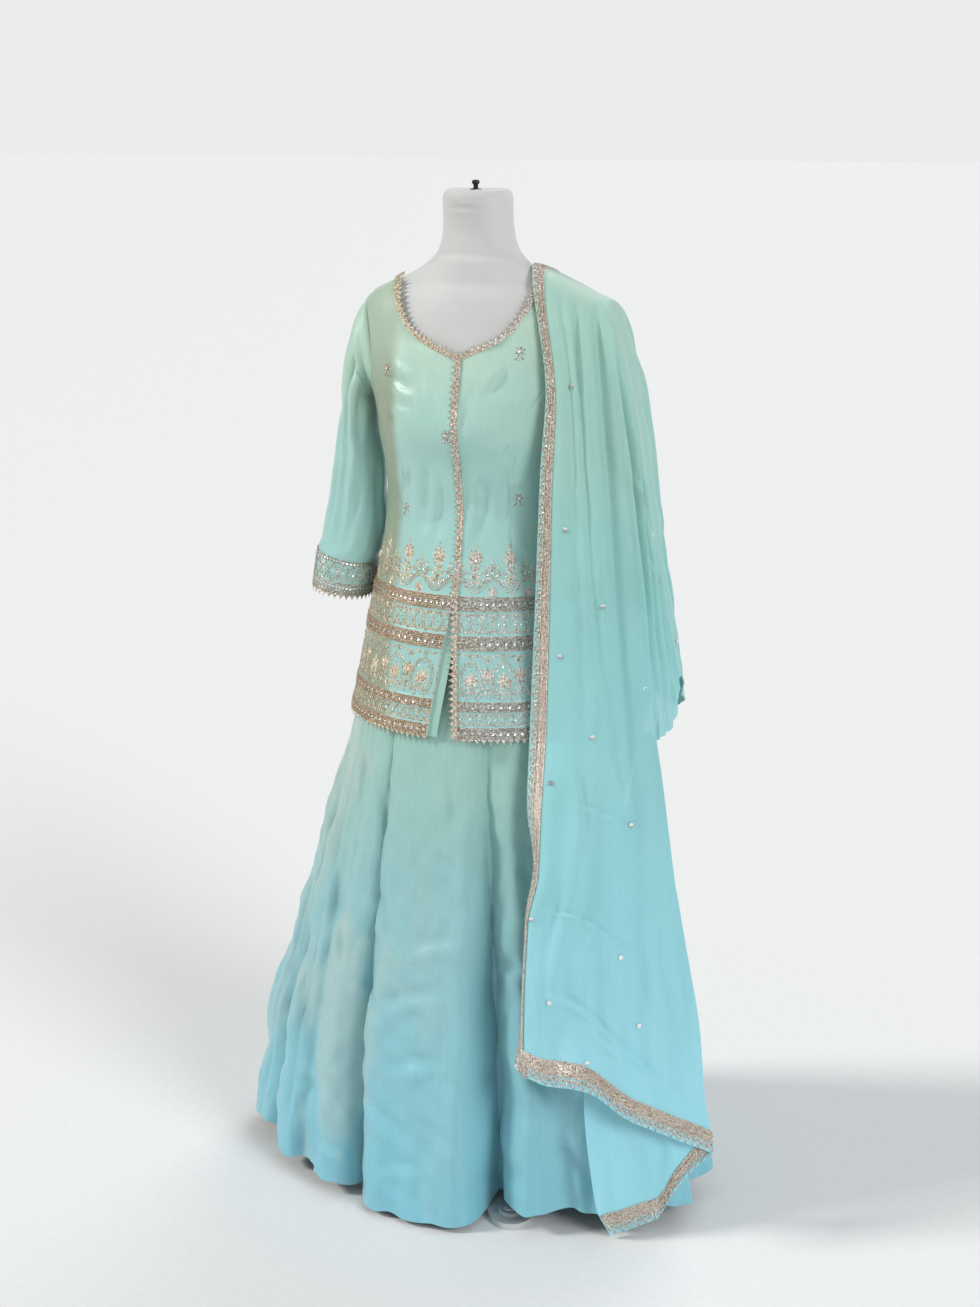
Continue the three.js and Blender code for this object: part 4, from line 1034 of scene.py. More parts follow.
def skirt_panel(k):
    top_from, hem_from = SKIRT_SEAMS[k]
    top_to, hem_to = SKIRT_SEAMS[(k + 1) % len(SKIRT_SEAMS)]
    if k == len(SKIRT_SEAMS) - 1:
        top_to, hem_to = top_to + TURN, hem_to + TURN
    t = np.linspace(0, 1, 121)[:, None]
    s = np.linspace(0, 1, 37)[None]
    U = mix(mix(hem_from, hem_to, s), mix(top_from, top_to, s), t)
    low = hem_height(U % TURN) + 2.2 * np.sin(U * DEG * 23) + 1.2 * np.sin(U * DEG * 61)
    low = np.maximum(low, 4)
    Z = mix(low, WAIST_TOP - WAISTBAND - 0.3, t)
    n = normal_of(skirt, U, Z, 0.3, 1)
    seam = np.exp(-((np.minimum(s, 1 - s) * 36 / 1.2) ** 2)) * np.ones_like(t)
    dent = skirt_dent(U, Z) - 1.3 * seam
    base = skirt(U, Z)
    outer = base + n * (CLOTH + dent)[..., None]
    inner = base + n * (dent + 0.2)[..., None]
    uv = np.stack([U * SKIRT_ARC, Z], -1)
    name = f"skirt_silk_{k + 1}"
    obj = shell_object(name, outer, inner, uv, skirt_silk, [f"skirt_panel_{k + 1}"])


def waistband():
    u = np.linspace(0, TURN, 145)[:-1]
    z = np.linspace(WAIST_TOP - WAISTBAND, WAIST_TOP, 11)
    U, Z = np.meshgrid(u, z)
    pucker = 0.9 * np.sin(U * DEG * 53 + np.sin(U * DEG * 7)) + 0.5 * unevenness(U * 2, Z, 18, 31)
    outer = proud(skirt_body, U, Z, CLOTH + 1 + pucker * 0.6)
    inner = proud(skirt_body, U, Z, 0.2)
    uv = np.stack([U * 2, Z], -1)
    nodes = ["skirt_waistband"]
    obj = shell_object("waistband_silk", outer, inner, uv, skirt_silk, nodes, closed=True)


# Threadwork drawn in mm on a chart, which lays it on the cloth: p along, q across, h up
class Work:
    def __init__(self, chart=None):
        self.points, self.waiting, self.faces, self.count = [], [], [], 0
        self.chart = None
        if chart:
            self.on(chart)

    def on(self, chart, p=50.0, q=3.0):
        self.flush()
        self.chart = chart
        corner = chart(np.array([p, p + 1, p, p]), np.array([q, q, q + 1, q]), np.array([0.0, 0, 0, 1]))
        turn = np.dot(np.cross(corner[1] - corner[0], corner[2] - corner[0]), corner[3] - corner[0])
        self.flip = turn < 0

    def flush(self):
        if self.waiting:
            self.points.append(self.chart(*np.concatenate(self.waiting, axis=1)))
        self.waiting = []

    def add(self, p, q, h, faces):
        place = np.stack([np.asarray(v, float).ravel() for v in np.broadcast_arrays(p, q, h)])
        self.waiting.append(place)
        faces = np.asarray(faces)
        if self.flip:
            faces = faces[:, ::-1]
        self.faces += (faces + self.count).tolist()
        self.count += place.shape[1]

    # A half-round cord along a path; beaded cords swell at every other point
    def cord(self, path, width, height, beaded=0.0, base=0.0):
        path = np.asarray(path, float)
        n = len(path)
        along = unit(np.gradient(path, axis=0))
        side = np.stack([-along[:, 1], along[:, 0]], -1)
        swell = 1 - beaded * (np.arange(n) % 2)
        across = np.array([-0.5, -0.3, 0.3, 0.5])
        lift = np.array([-0.3, height, height, -0.3])
        wide = across[None, :, None] * width * (0.6 + 0.4 * swell)[:, None, None]
        place = path[:, None] + side[:, None] * wide
        rise = base + lift[None] * np.where(lift > 0, swell[:, None], 1)
        i, j = (v.ravel() for v in np.meshgrid(np.arange(n - 1), np.arange(3), indexing="ij"))
        a = i * 4 + j
        self.add(place[..., 0], place[..., 1], rise, np.stack([a, a + 4, a + 5, a + 1], -1))

    def leaf(self, x, y, angle, length, width, height=0.9, base=0.0):
        t = np.array([0, 0.25, 0.55, 0.82, 1])
        half = np.array([0.15, 0.8, 1, 0.62, 0.1]) * width / 2
        ca, sa = math.cos(angle * DEG), math.sin(angle * DEG)
        u = np.concatenate([t, t, t]) * length
        v = np.concatenate([-half, half * 0, half])
        h = np.concatenate([t * 0 - 0.2, height * np.array([0.4, 0.9, 1, 0.9, 0.3]), t * 0 - 0.2])
        i = np.arange(4)
        faces = np.concatenate([np.stack([i + k, i + k + 1, i + k + 6, i + k + 5], -1) for k in (0, 5)])
        self.add(x + u * ca - v * sa, y + u * sa + v * ca, h + base, faces)

    def bead(self, x, y, r, height=0.9, base=0.0):
        a = np.arange(6) * math.pi / 3
        p = np.concatenate([x + r * np.cos(a), x + 0.65 * r * np.cos(a)])
        q = np.concatenate([y + r * np.sin(a), y + 0.65 * r * np.sin(a)])
        h = np.repeat([-0.2, height], 6)
        i = np.arange(6)
        k = (i + 1) % 6
        self.add(p, q, h + base, np.stack([i, k, k + 6, i + 6], -1))
        top = base + height * np.array([1.2, 1, 1, 1, 1, 1, 1])
        self.add([x, *p[6:]], [y, *q[6:]], top, np.stack([i * 0, i + 1, k + 1], -1))

    # A flat disc with a sunk middle
    def disc(self, x, y, r, height=0.9, base=0.0):
        a = np.arange(8) * math.pi / 4 + 0.2
        radii = np.repeat([r, r, 0.5 * r], 8)
        p, q = x + radii * np.tile(np.cos(a), 3), y + radii * np.tile(np.sin(a), 3)
        i = np.arange(8)
        k = (i + 1) % 8
        faces = np.concatenate([np.stack([i + m, k + m, k + m + 8, i + m + 8], -1) for m in (0, 8)])
        self.add(p, q, base + np.repeat([-0.2, height, 0.75 * height], 8), faces)
        self.add([x, *p[16:]], [y, *q[16:]], base + 0.75 * height, np.stack([i * 0, i + 1, k + 1], -1))

    # A raised triangle with a bead on its tip, pointing down the chart where tall is negative
    def tooth(self, x, y, wide, tall, base=0.3):
        faces = np.array([[0, 1, 3], [1, 2, 3], [2, 0, 3]])
        if tall < 0:
            faces = faces[:, [1, 0, 2]]
        along = [x - wide / 2, x + wide / 2, x, x]
        across = [y, y, y + tall, y + tall * 0.35]
        self.add(along, across, [base, base, base, base + 1.1], faces)
        self.bead(x, y + tall, 1.0, 0.8, base)

    def object(self, name, material, nodes=()):
        self.flush()
        mesh = plain_mesh(name, np.concatenate(self.points), self.faces, sharp=70)
        return put(name, mesh, material, nodes)


# Evenly spaced places along a length, as near to a pitch as it allows
def spaced(length, pitch):
    n = max(1, round(length / pitch))
    return (np.arange(n) + 0.5) * length / n


def line(x0, y0, x1, y1, step=2.0):
    n = max(2, int(math.hypot(x1 - x0, y1 - y0) / step) + 1)
    return np.stack([np.linspace(x0, x1, n), np.linspace(y0, y1, n)], -1)


def arc(x, y, rx, ry, start, end, n=9):
    a = np.linspace(start, end, n) * DEG
    return np.stack([x + rx * np.cos(a), y + ry * np.sin(a)], -1)


# Motifs
def rosette(work, x, y, r, petals=6, turn=0):
    for k in range(petals):
        a = turn + k * TURN / petals
        out_x, out_y = 0.25 * r * math.cos(a * DEG), 0.25 * r * math.sin(a * DEG)
        work.leaf(x + out_x, y + out_y, a, 0.75 * r, 0.5 * r)
    work.bead(x, y, 0.24 * r, 1.2)


def fan(work, x, y, r, angle=90, petals=5, spread=150):
    for k in range(petals):
        aside = k - (petals - 1) / 2
        work.leaf(x, y, angle + aside / (petals - 1) * spread, r * (1 - 0.16 * abs(aside)), 0.34 * r)
    work.bead(x, y, 0.2 * r, 1.2)


def spray(work, x, y, tall):
    work.cord(line(x, y, x, y + 0.5 * tall), 1.5, 0.8)
    rosette(work, x, y + 0.66 * tall, 0.2 * tall, 8)
    fan(work, x, y + 0.66 * tall, 0.34 * tall, petals=7, spread=200)
    for side in (-1, 1):
        aside = side * tall
        stem = arc(x + 0.2 * aside, y + 0.1 * tall, 0.2 * tall, 0.26 * tall, 90 + side * 90, 90 - side * 50)
        work.cord(stem, 1.3, 0.8)
        rosette(work, x + 0.33 * aside, y + 0.36 * tall, 0.1 * tall, 5, 36 * side)
        for low, turn, long in ((0.08, 62, 0.26), (0.2, 50, 0.22), (0.34, 36, 0.2)):
            work.leaf(x, y + low * tall, 90 - side * turn, long * tall, 0.1 * tall)
        work.leaf(x + 0.33 * aside, y + 0.42 * tall, 90 - side * 10, 0.16 * tall, 0.09 * tall)
        work.bead(x + 0.42 * aside, y + 0.22 * tall, 0.035 * tall)
    work.bead(x, y + 1.04 * tall, 0.035 * tall)


# Runs of threadwork round the kurti: angles of the ends, and the side of the opening that one ends on
RUNS = {"right": (-90, None, -1), "left": (None, 90, 1), "back": (90, 270, 0)}
RUN_HEIGHT = 840


def run_chart(first, last, side):
    edge = float(slit_angle(side, RUN_HEIGHT)) if side else 0
    start, end = (edge if v is None else v for v in (first, last))
    u = np.linspace(start, end, 361)
    points = kurti(u, np.full_like(u, RUN_HEIGHT))
    lengths = lengths_along(points)

    def place(p, z, h):
        at = np.interp(p, lengths, u)
        if side:
            fixed = last if first is None else first
            at = fixed + (at - fixed) * (slit_angle(side, z) - fixed) / (edge - fixed)
        return proud(kurti, at, z, CLOTH + band_relief(z) + kurti_dent(at, z) + h)

    return place, lengths[-1]


# Heights of the cords that fill the raised bands, and of the sequins on them with their pitch
CORD_ROWS = [
    *np.arange(739.6, 754.5, 2.8), *np.arange(777.4, 789.5, 2.8),
    *np.arange(860.4, 879, 2.9), *np.arange(913.4, 931, 2.9),
]
SEQUIN_ROWS = [(746.6, 9.0), (783.0, 11.0), (869.1, 11.0), (922.1, 9.0)]


# One run of threadwork: bands, thread and sequins on the same chart
class Run:
    def __init__(self, chart, length, margin):
        self.length, self.margin = length, margin
        self.bands, self.thread, self.shine = Work(), Work(), Work()
        for work in (self.bands, self.thread, self.shine):
            work.on(chart, 50, 800)

    # Evenly spaced places between the margins, and the step between them
    def spots(self, pitch):
        room = self.length - 2 * self.margin
        places = spaced(room, pitch)
        return self.margin + places, room / len(places)

    def fits(self, x, reach):
        return self.margin + reach < x < self.length - self.margin - reach


def band_rows(run):
    for z in CORD_ROWS:
        run.bands.cord(line(run.margin, z, run.length - run.margin, z, 2.1), 3.1, 1.0, beaded=0.5)
    for z, pitch in SEQUIN_ROWS:
        for x in run.spots(pitch)[0]:
            run.shine.disc(x, z, 1.9, 1.5)


# Crossed cords that leave a row of diamonds, with the ground between them beaded over
def diamonds(run, low, high, pitch, wide):
    thread, shine = run.thread, run.shine
    middle, tall = (low + high) / 2, high - low
    places, step = run.spots(pitch)
    for k, x in enumerate(places):
        for way in (-1, 1):
            thread.cord(line(x - way * step / 2, low, x + way * step / 2, high, 5), wide, 0.9)
            thread.leaf(x, middle + way * 0.2 * tall, 90 * way, 0.24 * tall, 0.14 * step, 0.8)
            thread.leaf(x, middle + way * 0.46 * tall, -90 * way, 0.2 * tall, 0.42 * step, 0.8)
            for beside in (-0.24, 0.24):
                thread.bead(x + beside * step, middle + way * 0.42 * tall, 0.09 * step)
        shine.disc(x, middle, 0.13 * pitch)
        thread.bead(x + step / 2, middle + 0.14 * tall, 0.07 * step)
        thread.bead(x + step / 2, middle - 0.14 * tall, 0.07 * step)
        if k % 2:
            shine.disc(x + step / 2 - 0.1, middle, 0.1 * pitch)
        else:
            thread.bead(x + step / 2 - 0.1, middle, 0.09 * pitch)


# Vine arches with a lotus in each, a shell flower between, and buds in the corners
VINE_PITCH = 44
VINE_MIDDLE = 818


def vine(run):
    thread, shine = run.thread, run.shine
    places, step = run.spots(VINE_PITCH)
    for x in places:
        r = 0.36 * step
        thread.cord(arc(x, VINE_MIDDLE, r, 27, -60, 240, 29), 1.7, 0.9)
        thread.cord(arc(x, VINE_MIDDLE, r - 3.2, 23.5, -50, 230, 25), 1.2, 0.7, 0.4)
        fan(thread, x, 815, 18, petals=7, spread=200)
        fan(thread, x, 813, 9, petals=5, spread=140)
        thread.cord(line(x, 798, x, 812), 1.5, 0.8)
        for way in (-1, 1):
            thread.leaf(x, 800, 90 - way * 55, 12, 4.6)
            thread.leaf(x, 807, 90 - way * 60, 11, 3.8)
            thread.cord(arc(x + way * r * 0.62, 796.5, 6, 5, 90 - way * 90, 90 + way * 170, 11), 1.4, 0.8)
            thread.leaf(x + way * 0.2 * step, 851, 90 - way * 75, 9, 3.8)
            thread.leaf(x + way * 0.1 * step, 854, 90 - way * 95, 7, 3.2)
            shine.disc(x + way * 8, 834, 1.3)
        shine.disc(x, 839, 1.6)
        rosette(thread, x, 852, 5.5, 6)
    for edge in [x + step / 2 for x in places]:
        if not run.fits(edge, 7):
            continue
        fan(thread, edge, 824, 15, petals=7, spread=190)
        fan(thread, edge, 824, 8, petals=5, spread=150)
        fan(thread, edge, 821, 9, angle=270, petals=3, spread=90)
        thread.cord(line(edge, 794, edge, 812), 1.4, 0.8)
        for way in (-1, 1):
            thread.leaf(edge, 800, 90 - way * 50, 9, 3.6)
            thread.leaf(edge, 806, 90 - way * 40, 7, 3.0)
        rosette(thread, edge, 848, 6.5, 7, 12)
        shine.disc(edge, 848, 1.5, 1.9)
        thread.bead(edge, 839, 1.3)


# A double garland with half flowers under its humps, and tall sprays above it
GARLAND_PITCH = 54
GARLAND_LOW = 941
GARLAND_HIGH = 958
SPRAY_FOOT = 944
SPRAY_TALL = 56


def garland(run):
    thread, shine = run.thread, run.shine
    places, step = run.spots(GARLAND_PITCH)
    start, end = run.margin + 1, run.length - run.margin - 1
    along = np.linspace(start, end, int((end - start) / 2.4))
    turns = (along - run.margin) / step * math.pi
    rise = (1 + np.cos(2 * turns)) / 2 * np.abs(np.cos(turns)) ** 0.4
    middle = mix(GARLAND_LOW, GARLAND_HIGH, rise)
    for lift, wide in ((-3.4, 1.8), (0, 1.3), (3.4, 1.8)):
        thread.cord(np.stack([along, middle + lift], -1), wide, 1.0, beaded=0.35)
    for p, q in list(zip(along, middle))[2:-2:3]:
        shine.disc(p, q + 6.6, 1.2)
    for x in places:
        spray(thread, x, SPRAY_FOOT, SPRAY_TALL)
        shine.disc(x, 981, 1.7, 2.0)
        hump = x + step / 2
        if not run.fits(hump, 4):
            continue
        fan(thread, hump, 935, 14, petals=7, spread=170)
        fan(thread, hump, 935, 8, petals=5, spread=150)
        shine.disc(hump, 937, 1.7, 1.6)
        rosette(thread, hump, 972, 5.6, 6)
        thread.leaf(hump, 964, 62, 8, 3.4)
        thread.leaf(hump, 964, 118, 8, 3.4)
        thread.leaf(hump, 976, 90, 8, 3.4)


def hem_threadwork(name, first, last, side):
    chart, length = run_chart(first, last, side)
    run = Run(chart, length, 1.6 if side else 0.2)
    band_rows(run)
    diamonds(run, 757.2, 774.6, 13, 1.5)
    vine(run)
    diamonds(run, 881.8, 910.4, 16, 1.8)
    garland(run)
    run.bands.object(f"bands_{name}", zari_lace)
    run.thread.object(f"threadwork_{name}", thread_cream)
    run.shine.object(f"sequins_{name}", mirror_disc)


# Chart along an edge of a panel's cells: p counts up the edge, q into the panel
def edge_chart(cells, edge, lift):
    line_u, line_z = cells[:, edge, 0], cells[:, edge, 1]
    into = 3 if edge == 0 else -4
    points = kurti(line_u, line_z)
    inner = kurti(cells[:, into, 0], cells[:, into, 1])
    lengths = lengths_along(points)
    along = np.gradient(points, axis=0)
    way = inner - points
    slip = np.sum(way * along, -1) / np.maximum(np.sum(along * along, -1), 1e-9)
    way = unit(way - along * slip[:, None])
    per_degree = kurti(line_u + 0.5, line_z) - kurti(line_u - 0.5, line_z)
    du = np.sum(way * per_degree, -1) / np.sum(per_degree * per_degree, -1)
    dz = way[:, 2]

    def place(p, q, h):
        u = np.interp(p, lengths, line_u) + np.interp(p, lengths, du) * q
        z = np.interp(p, lengths, line_z) + np.interp(p, lengths, dz) * q
        return proud(kurti, u, z, CLOTH + band_relief(z) + h + lift)

    return place, lengths[-1]


LACE_PITCH = 8.6
TOOTH_WIDE = LACE_PITCH * 0.96
TOOTH_TALL = 6.2
NECK_TOOTH_TALL = 5.2


# Two beaded cords on a braid, with a row of teeth that points out over the edge
def toothed_lace(work, chart, length, teeth=TOOTH_TALL):
    work.on(chart, length / 2, 2)
    work.cord(line(0, 2.6, length, 2.6, 2.0), 5.6, 0.9)
    for q in (0.9, 4.4):
        work.cord(line(0, q, length, q, 1.7), 1.9, 1.7, beaded=0.5)
    for x in spaced(length, LACE_PITCH):
        work.tooth(x, 0.2, TOOTH_WIDE, -teeth)
        work.bead(x, 2.7, 1.1, 1.7)


def kurti_laces(fronts, back):
    v_row = (len(BODY_ROWS) - 1) * ROW_PARTS
    left = Work()
    toothed_lace(left, *edge_chart(fronts[1][v_row:], 0, 0.4), teeth=NECK_TOOTH_TALL)
    toothed_lace(left, *edge_chart(fronts[1][: v_row + 1], 0, 1.2))
    left.object("neck_lace_work_left", thread_cream, ["neck_lace_left"])
    right = Work()
    toothed_lace(right, *edge_chart(fronts[-1][v_row:], -1, 0.4), teeth=NECK_TOOTH_TALL)
    chart, length = edge_chart(fronts[-1][: v_row + 1], -1, 0.2)
    right.on(chart, length / 2, 2)
    right.cord(line(1, 1.3, length - 7, 1.3, 1.7), 2.0, 1.0, beaded=0.4)
    right.object("neck_lace_work_right", thread_cream, ["neck_lace_right"])
    top = back[-1]
    low, high = (int(round(t * (len(top) - 1))) for t in (0.155, 0.845))
    u, z = top[low : high + 1, 0], top[low : high + 1, 1]
    points = kurti(u, z)
    lengths = lengths_along(points)

    def behind(p, q, h):
        at = np.interp(p, lengths, z) - q
        return proud(kurti, np.interp(p, lengths, u), at, CLOTH + h + 1.0)

    rear = Work()
    toothed_lace(rear, behind, lengths[-1])
    rear.object("neck_lace_work_back", thread_cream, ["neck_lace_back"])


def hem_lace(name, first, last, side):
    chart, length = run_chart(first, last, side)
    work = Work()
    work.on(chart, 50, 740)
    for x in spaced(length, LACE_PITCH):
        work.tooth(x, KURTI_HEM + 1, TOOTH_WIDE, -TOOTH_TALL, 0.0)
    work.object(f"hem_teeth_{name}", thread_cream)


# Scattered flowers: x and height, in front and on the back
MOTIFS = [(-100, 1235), (89, 1265), (-2, 1153), (85, 1064), (-79, 1041)]
BACK_MOTIFS = [(70, 1260), (-75, 1230), (0, 1180), (80, 1110), (-80, 1090), (10, 1065), (-20, 1290)]


def scattered_motifs():
    work, shine = Work(), Work()
    for spots, behind in ((MOTIFS, False), (BACK_MOTIFS, True)):
        for k, (x0, z0) in enumerate(spots):
            u0 = angle_at(x0, z0)
            u0 = 180 - u0 if behind else u0
            per = float(mm_per_degree(kurti, np.array(u0), np.array(float(z0))))

            def chart(p, q, h, u0=u0, z0=z0, per=per):
                u, z = u0 + p / per, z0 + q
                return proud(kurti, u, z, CLOTH + kurti_dent(u, z) + h)

            work.on(chart, 0, 0)
            shine.on(chart, 0, 0)
            turn = 20 * k
            rosette(work, 0, 2, 7.5, 6, turn)
            for way in (-1, 1):
                work.leaf(way * 2, -5, 270 + way * 48, 6.5, 3)
            work.bead(0, -9, 1.3)
            shine.disc(0, 2, 2.0, 1.7)
    work.object("scattered_flowers", zari_lace)
    shine.object("scattered_sequins", mirror_disc)


# Cuff: rows of the sleeve at its end and its middle, and its height
SLEEVE_END = 9
CUFF_ROW = 8.5
CUFF_TALL = 55.0
CUFF_CORDS = (1.6, 4.2, 6.8, 9.4, 14.6, 17.2, 47, 54.0)


def cuff(side, hand):
    turn = np.linspace(0, TURN, 181)
    ring = sleeve_point(side, np.full_like(turn, CUFF_ROW), turn)
    lengths = lengths_along(ring)

    def chart(p, q, h):
        w = np.interp(p % lengths[-1], lengths, turn)
        row = SLEEVE_END - q / CUFF_TALL
        n = sleeve_normal(side, row, w)
        return sleeve_point(side, row, w) + n * (np.asarray(h) + LAY_GAP)[..., None]

    length = lengths[-1]
    work, shine = Work(), Work()
    work.on(chart, 50, 20)
    shine.on(chart, 50, 20)
    ground = Work(chart)
    ground.cord(line(0, 27.5, length - 0.01, 27.5, 2.5), 53, 0.45)
    ground.object(f"cuff_ground_{hand}", sleeve_silk, [f"cuff_band_{hand}"])
    for q in CUFF_CORDS:
        work.cord(line(0, q, length - 0.01, q, 1.7), 2.4, 1.5, beaded=0.5)
    places = spaced(length, 15)
    step = length / len(places)
    for x in places:
        for way in (-1, 1):
            work.cord(line(x - way * step / 2, 19, x + way * step / 2, 45.5, 5), 1.7, 1.4)
        shine.disc(x, 32, 2.0, 1.5)
        shine.disc(x + step / 2, 32, 1.8, 1.5)
        for q in (23, 41):
            work.bead(x, q, 1.3, 1.4)
            work.leaf(x, q, 90 if q < 32 else -90, 6, 3.4, 1.2)
        for q in (27, 37):
            work.bead(x + step / 2, q, 1.2, 1.4)
    for x in spaced(length, 5):
        shine.disc(x, 12, 1.7, 1.4)
        shine.disc(x, 50.6, 1.9, 1.4)
    for x in spaced(length, LACE_PITCH):
        work.tooth(x, 1.0, TOOTH_WIDE, -6.0)
    work.object(f"cuff_work_{hand}", zari_silver)
    shine.object(f"cuff_sequins_{hand}", mirror_disc)


# The turned-in edge behind the right front
FACING_WIDE = 13
FACING_LAP = 10
FACING_ARC = 2.6


def facing():
    z = np.linspace(KURTI_HEM, SLIT_TOP + 1, 60)
    wide = FACING_WIDE * np.minimum(1, (SLIT_TOP + 12 - z) / 80)
    start = slit_angle(-1, z)
    per = mm_per_degree(kurti, start * 0, z)
    s = np.linspace(0, 1, 13)[None]
    offset = mix(-FACING_LAP, wide[:, None], s)
    U = start[:, None] + offset / per[:, None]
    Z = np.broadcast_to(z[:, None], U.shape)
    outer = proud(kurti, U, Z, -LAY_GAP)
    inner = proud(kurti, U, Z, -CLOTH + 0.12 * unevenness(U * FACING_ARC, Z, 40, 61))
    uv = np.stack([U * FACING_ARC, Z], -1)
    shell_object("slit_edge_silk", outer, inner, uv, skirt_silk, ["slit_facing"])


# Dupatta
def wrap_low(c):
    return WRAP_BOTTOM + 50 * np.maximum(0, (c - 0.6) / 0.4) ** 1.6


def wrap(c, t):
    s = np.abs(t)
    drop = s * s * 1.06 / (s + 0.06)
    shoulder = mix(np.where(t < 0, 0.58, 0.63), 0.64, np.minimum(1, np.maximum(c, 0) / 0.46))
    forward = shoulder * (1 - np.exp(-s / 0.06)) + (1 - shoulder) * s**1.3
    spread = np.clip(c / 0.3, 0, 1)
    sideways = mix(1 - np.maximum(0, 1 - s) ** 7, s**0.85, spread)
    swing = 8 * np.exp(-(((s - 0.28) / 0.12) ** 2)) * np.maximum(0, 1 - c / 0.3)
    end_x = np.where(t < 0, wrap_at["frontX"](c), wrap_at["backX"](c))
    y = np.where(t < 0, -wrap_at["frontY"](c), wrap_at["backY"](c))
    x = mix(wrap_at["x"](c), end_x, sideways) + swing
    return vec(x, y * forward, mix(wrap_at["z"](c), wrap_low(c), drop))


def front_section(w, z):
    e = {name: f(z) for name, f in end_at.items()}
    growth = 1 - z / WRAP_BOTTOM
    s = np.clip(w / BORDER_W, None, 1)
    x0, y0 = mix(e["edgeX"], e["inX"], s), mix(e["edgeY"], e["inY"], s)
    s = np.clip((w - BORDER_W) / (FOLD_W - BORDER_W), 0, 1)
    x1 = mix(e["inX"], e["foldX"], s)
    y1 = mix(e["inY"], e["foldY"], s) - (18 + 6 * growth) * np.sin(math.pi * s**0.8)
    s = np.clip((w - FOLD_W) / (1 - FOLD_W), 0, 1.1)
    x2 = mix(e["foldX"], e["outX"], s)
    y2 = mix(e["foldY"], e["outY"], s) + 12 * np.sin(math.pi * s**0.6) * (0.4 + 0.6 * growth)
    x = np.where(w < BORDER_W, x0, np.where(w <= FOLD_W, x1, x2))
    y = np.where(w < BORDER_W, y0, np.where(w <= FOLD_W, y1, y2))
    return vec(x, y, z)


def front_end(w, v):
    return front_section(w, mix(edge_height(w), WRAP_BOTTOM, v))


def back_end(w, v):
    c = BACK_END_C * w
    z = mix(back_hem(w), WRAP_BOTTOM, v)
    return vec(wrap_at["backX"](c), wrap_at["backY"](c) + back_flare(z) * (1 - 0.55 * c), z)


# Pleats that fan down from the shoulder: place across, depth, half width
PLEATS = [
    (0.2, 3.0, 0.022), (0.3, 5.0, 0.026), (0.385, 7.0, 0.022), (0.47, -5.0, 0.02), (0.52, 8.0, 0.024),
    (0.6, -4.0, 0.025), (0.66, 7.0, 0.028), (0.77, 6.0, 0.03), (0.88, 5.0, 0.03),
]
# Creases of the dupatta, in mm: across and along at each end, depth and half width
WRAP_CREASES = [
    (95, -330, 235, -375, 1.6, 3), (120, -560, 300, -600, 1.8, 3), (60, -450, 200, -520, 1.2, 4),
    (200, -200, 300, -420, 2.2, 6), (110, 300, 260, 380, 1.8, 4), (90, 520, 260, 560, 1.8, 4),
    (180, 150, 300, 420, 2.2, 7), (240, -120, 330, -320, 2.4, 7), (330, -180, 360, -430, 2.6, 7),
]
FRONT_END_CREASES = [
    (40, 300, 250, 250, 1.8, 3.5), (90, 470, 255, 430, 1.6, 3.5), (60, 170, 230, 70, 2.4, 6),
    (120, 120, 250, 60, 2.2, 7), (70, 90, 100, 360, 2.2, 8), (150, 60, 160, 330, 2.4, 9),
    (200, 40, 215, 300, 2.2, 8), (235, 140, 245, 420, 1.8, 7), (280, 30, 300, 200, 2.4, 8),
    (330, 20, 340, 220, 2.4, 8), (110, 540, 120, 380, 1.8, 7), (180, 545, 190, 400, 1.8, 7),
]
BACK_END_CREASES = [(20, 20, 40, 260, 2.4, 8), (70, 60, 80, 280, 2.4, 9), (110, 140, 118, 290, 2.2, 8)]


def wrap_dent(c, t):
    s = np.abs(t)
    pleat = 0
    for at, depth, half in PLEATS:
        drift = at + 0.02 * np.sin(3 * t + at * 20)
        pleat = pleat - depth * np.exp(-(((c - drift) / half) ** 2))
    pleat = pleat * step_up(s, 0.02, 0.14) * (1 - 0.45 * step_up(s, 0.3, 1))
    across, down = c * WRAP_ACROSS, t * WRAP_DOWN
    soft = 1.4 * unevenness(across, down * 0.4, 70, 41) * step_up(s, 0.05, 0.3)
    fine = 1.5 * crumple(across, down * 0.35, 90, 42) * step_up(s, 0.15, 0.4)
    inside_border = step_up(c, BORDER_C, BORDER_C + 0.05)
    return (1.35 * pleat + 1.2 * creases(across, down, WRAP_CREASES) + soft + fine) * inside_border


def front_dent(w, v):
    across, down = w * FRONT_ACROSS, v * FRONT_DOWN
    soft = 2.2 * unevenness(across, down * 0.5, 85, 43) + 2.0 * crumple(across, down * 0.5, 110, 44)
    soft = soft * (1 - step_up(v, 0.8, 1))
    free = step_up(w, BORDER_W, BORDER_W + 0.05) * (1 - step_up(v, 0.96, 1))
    return (1.4 * creases(across, down, FRONT_END_CREASES) + soft) * free


def back_dent(w, v):
    across, down = w * BACK_ACROSS, v * BACK_DOWN
    soft = 1.6 * unevenness(across, down * 0.5, 70, 47)
    return (creases(across, down, BACK_END_CREASES) + soft) * (1 - step_up(v, 0.92, 1))


# The front end's top line meets the lower edge of the stretch over the shoulder
def wrap_point(c, t):
    p = wrap(c, t)
    w = np.clip(c / FOLD_C, 0, 1) * FOLD_W
    meet = front_section(w, np.full(np.shape(w), float(WRAP_BOTTOM))) - wrap(c, np.full(np.shape(c), -1.0))
    share = step_up(-t, 0.6, 1) * (1 - step_up(c, FOLD_C, 0.62))
    return p + meet * share[..., None]


def veil_grids(surface, dent, p, q, facing, step=0.004):
    n = normal_of(surface, p, q, step, step) * facing
    base = surface(p, q)
    d = dent(p, q)
    return base + n * (VEIL + d)[..., None], base + n * (0.3 + d)[..., None]


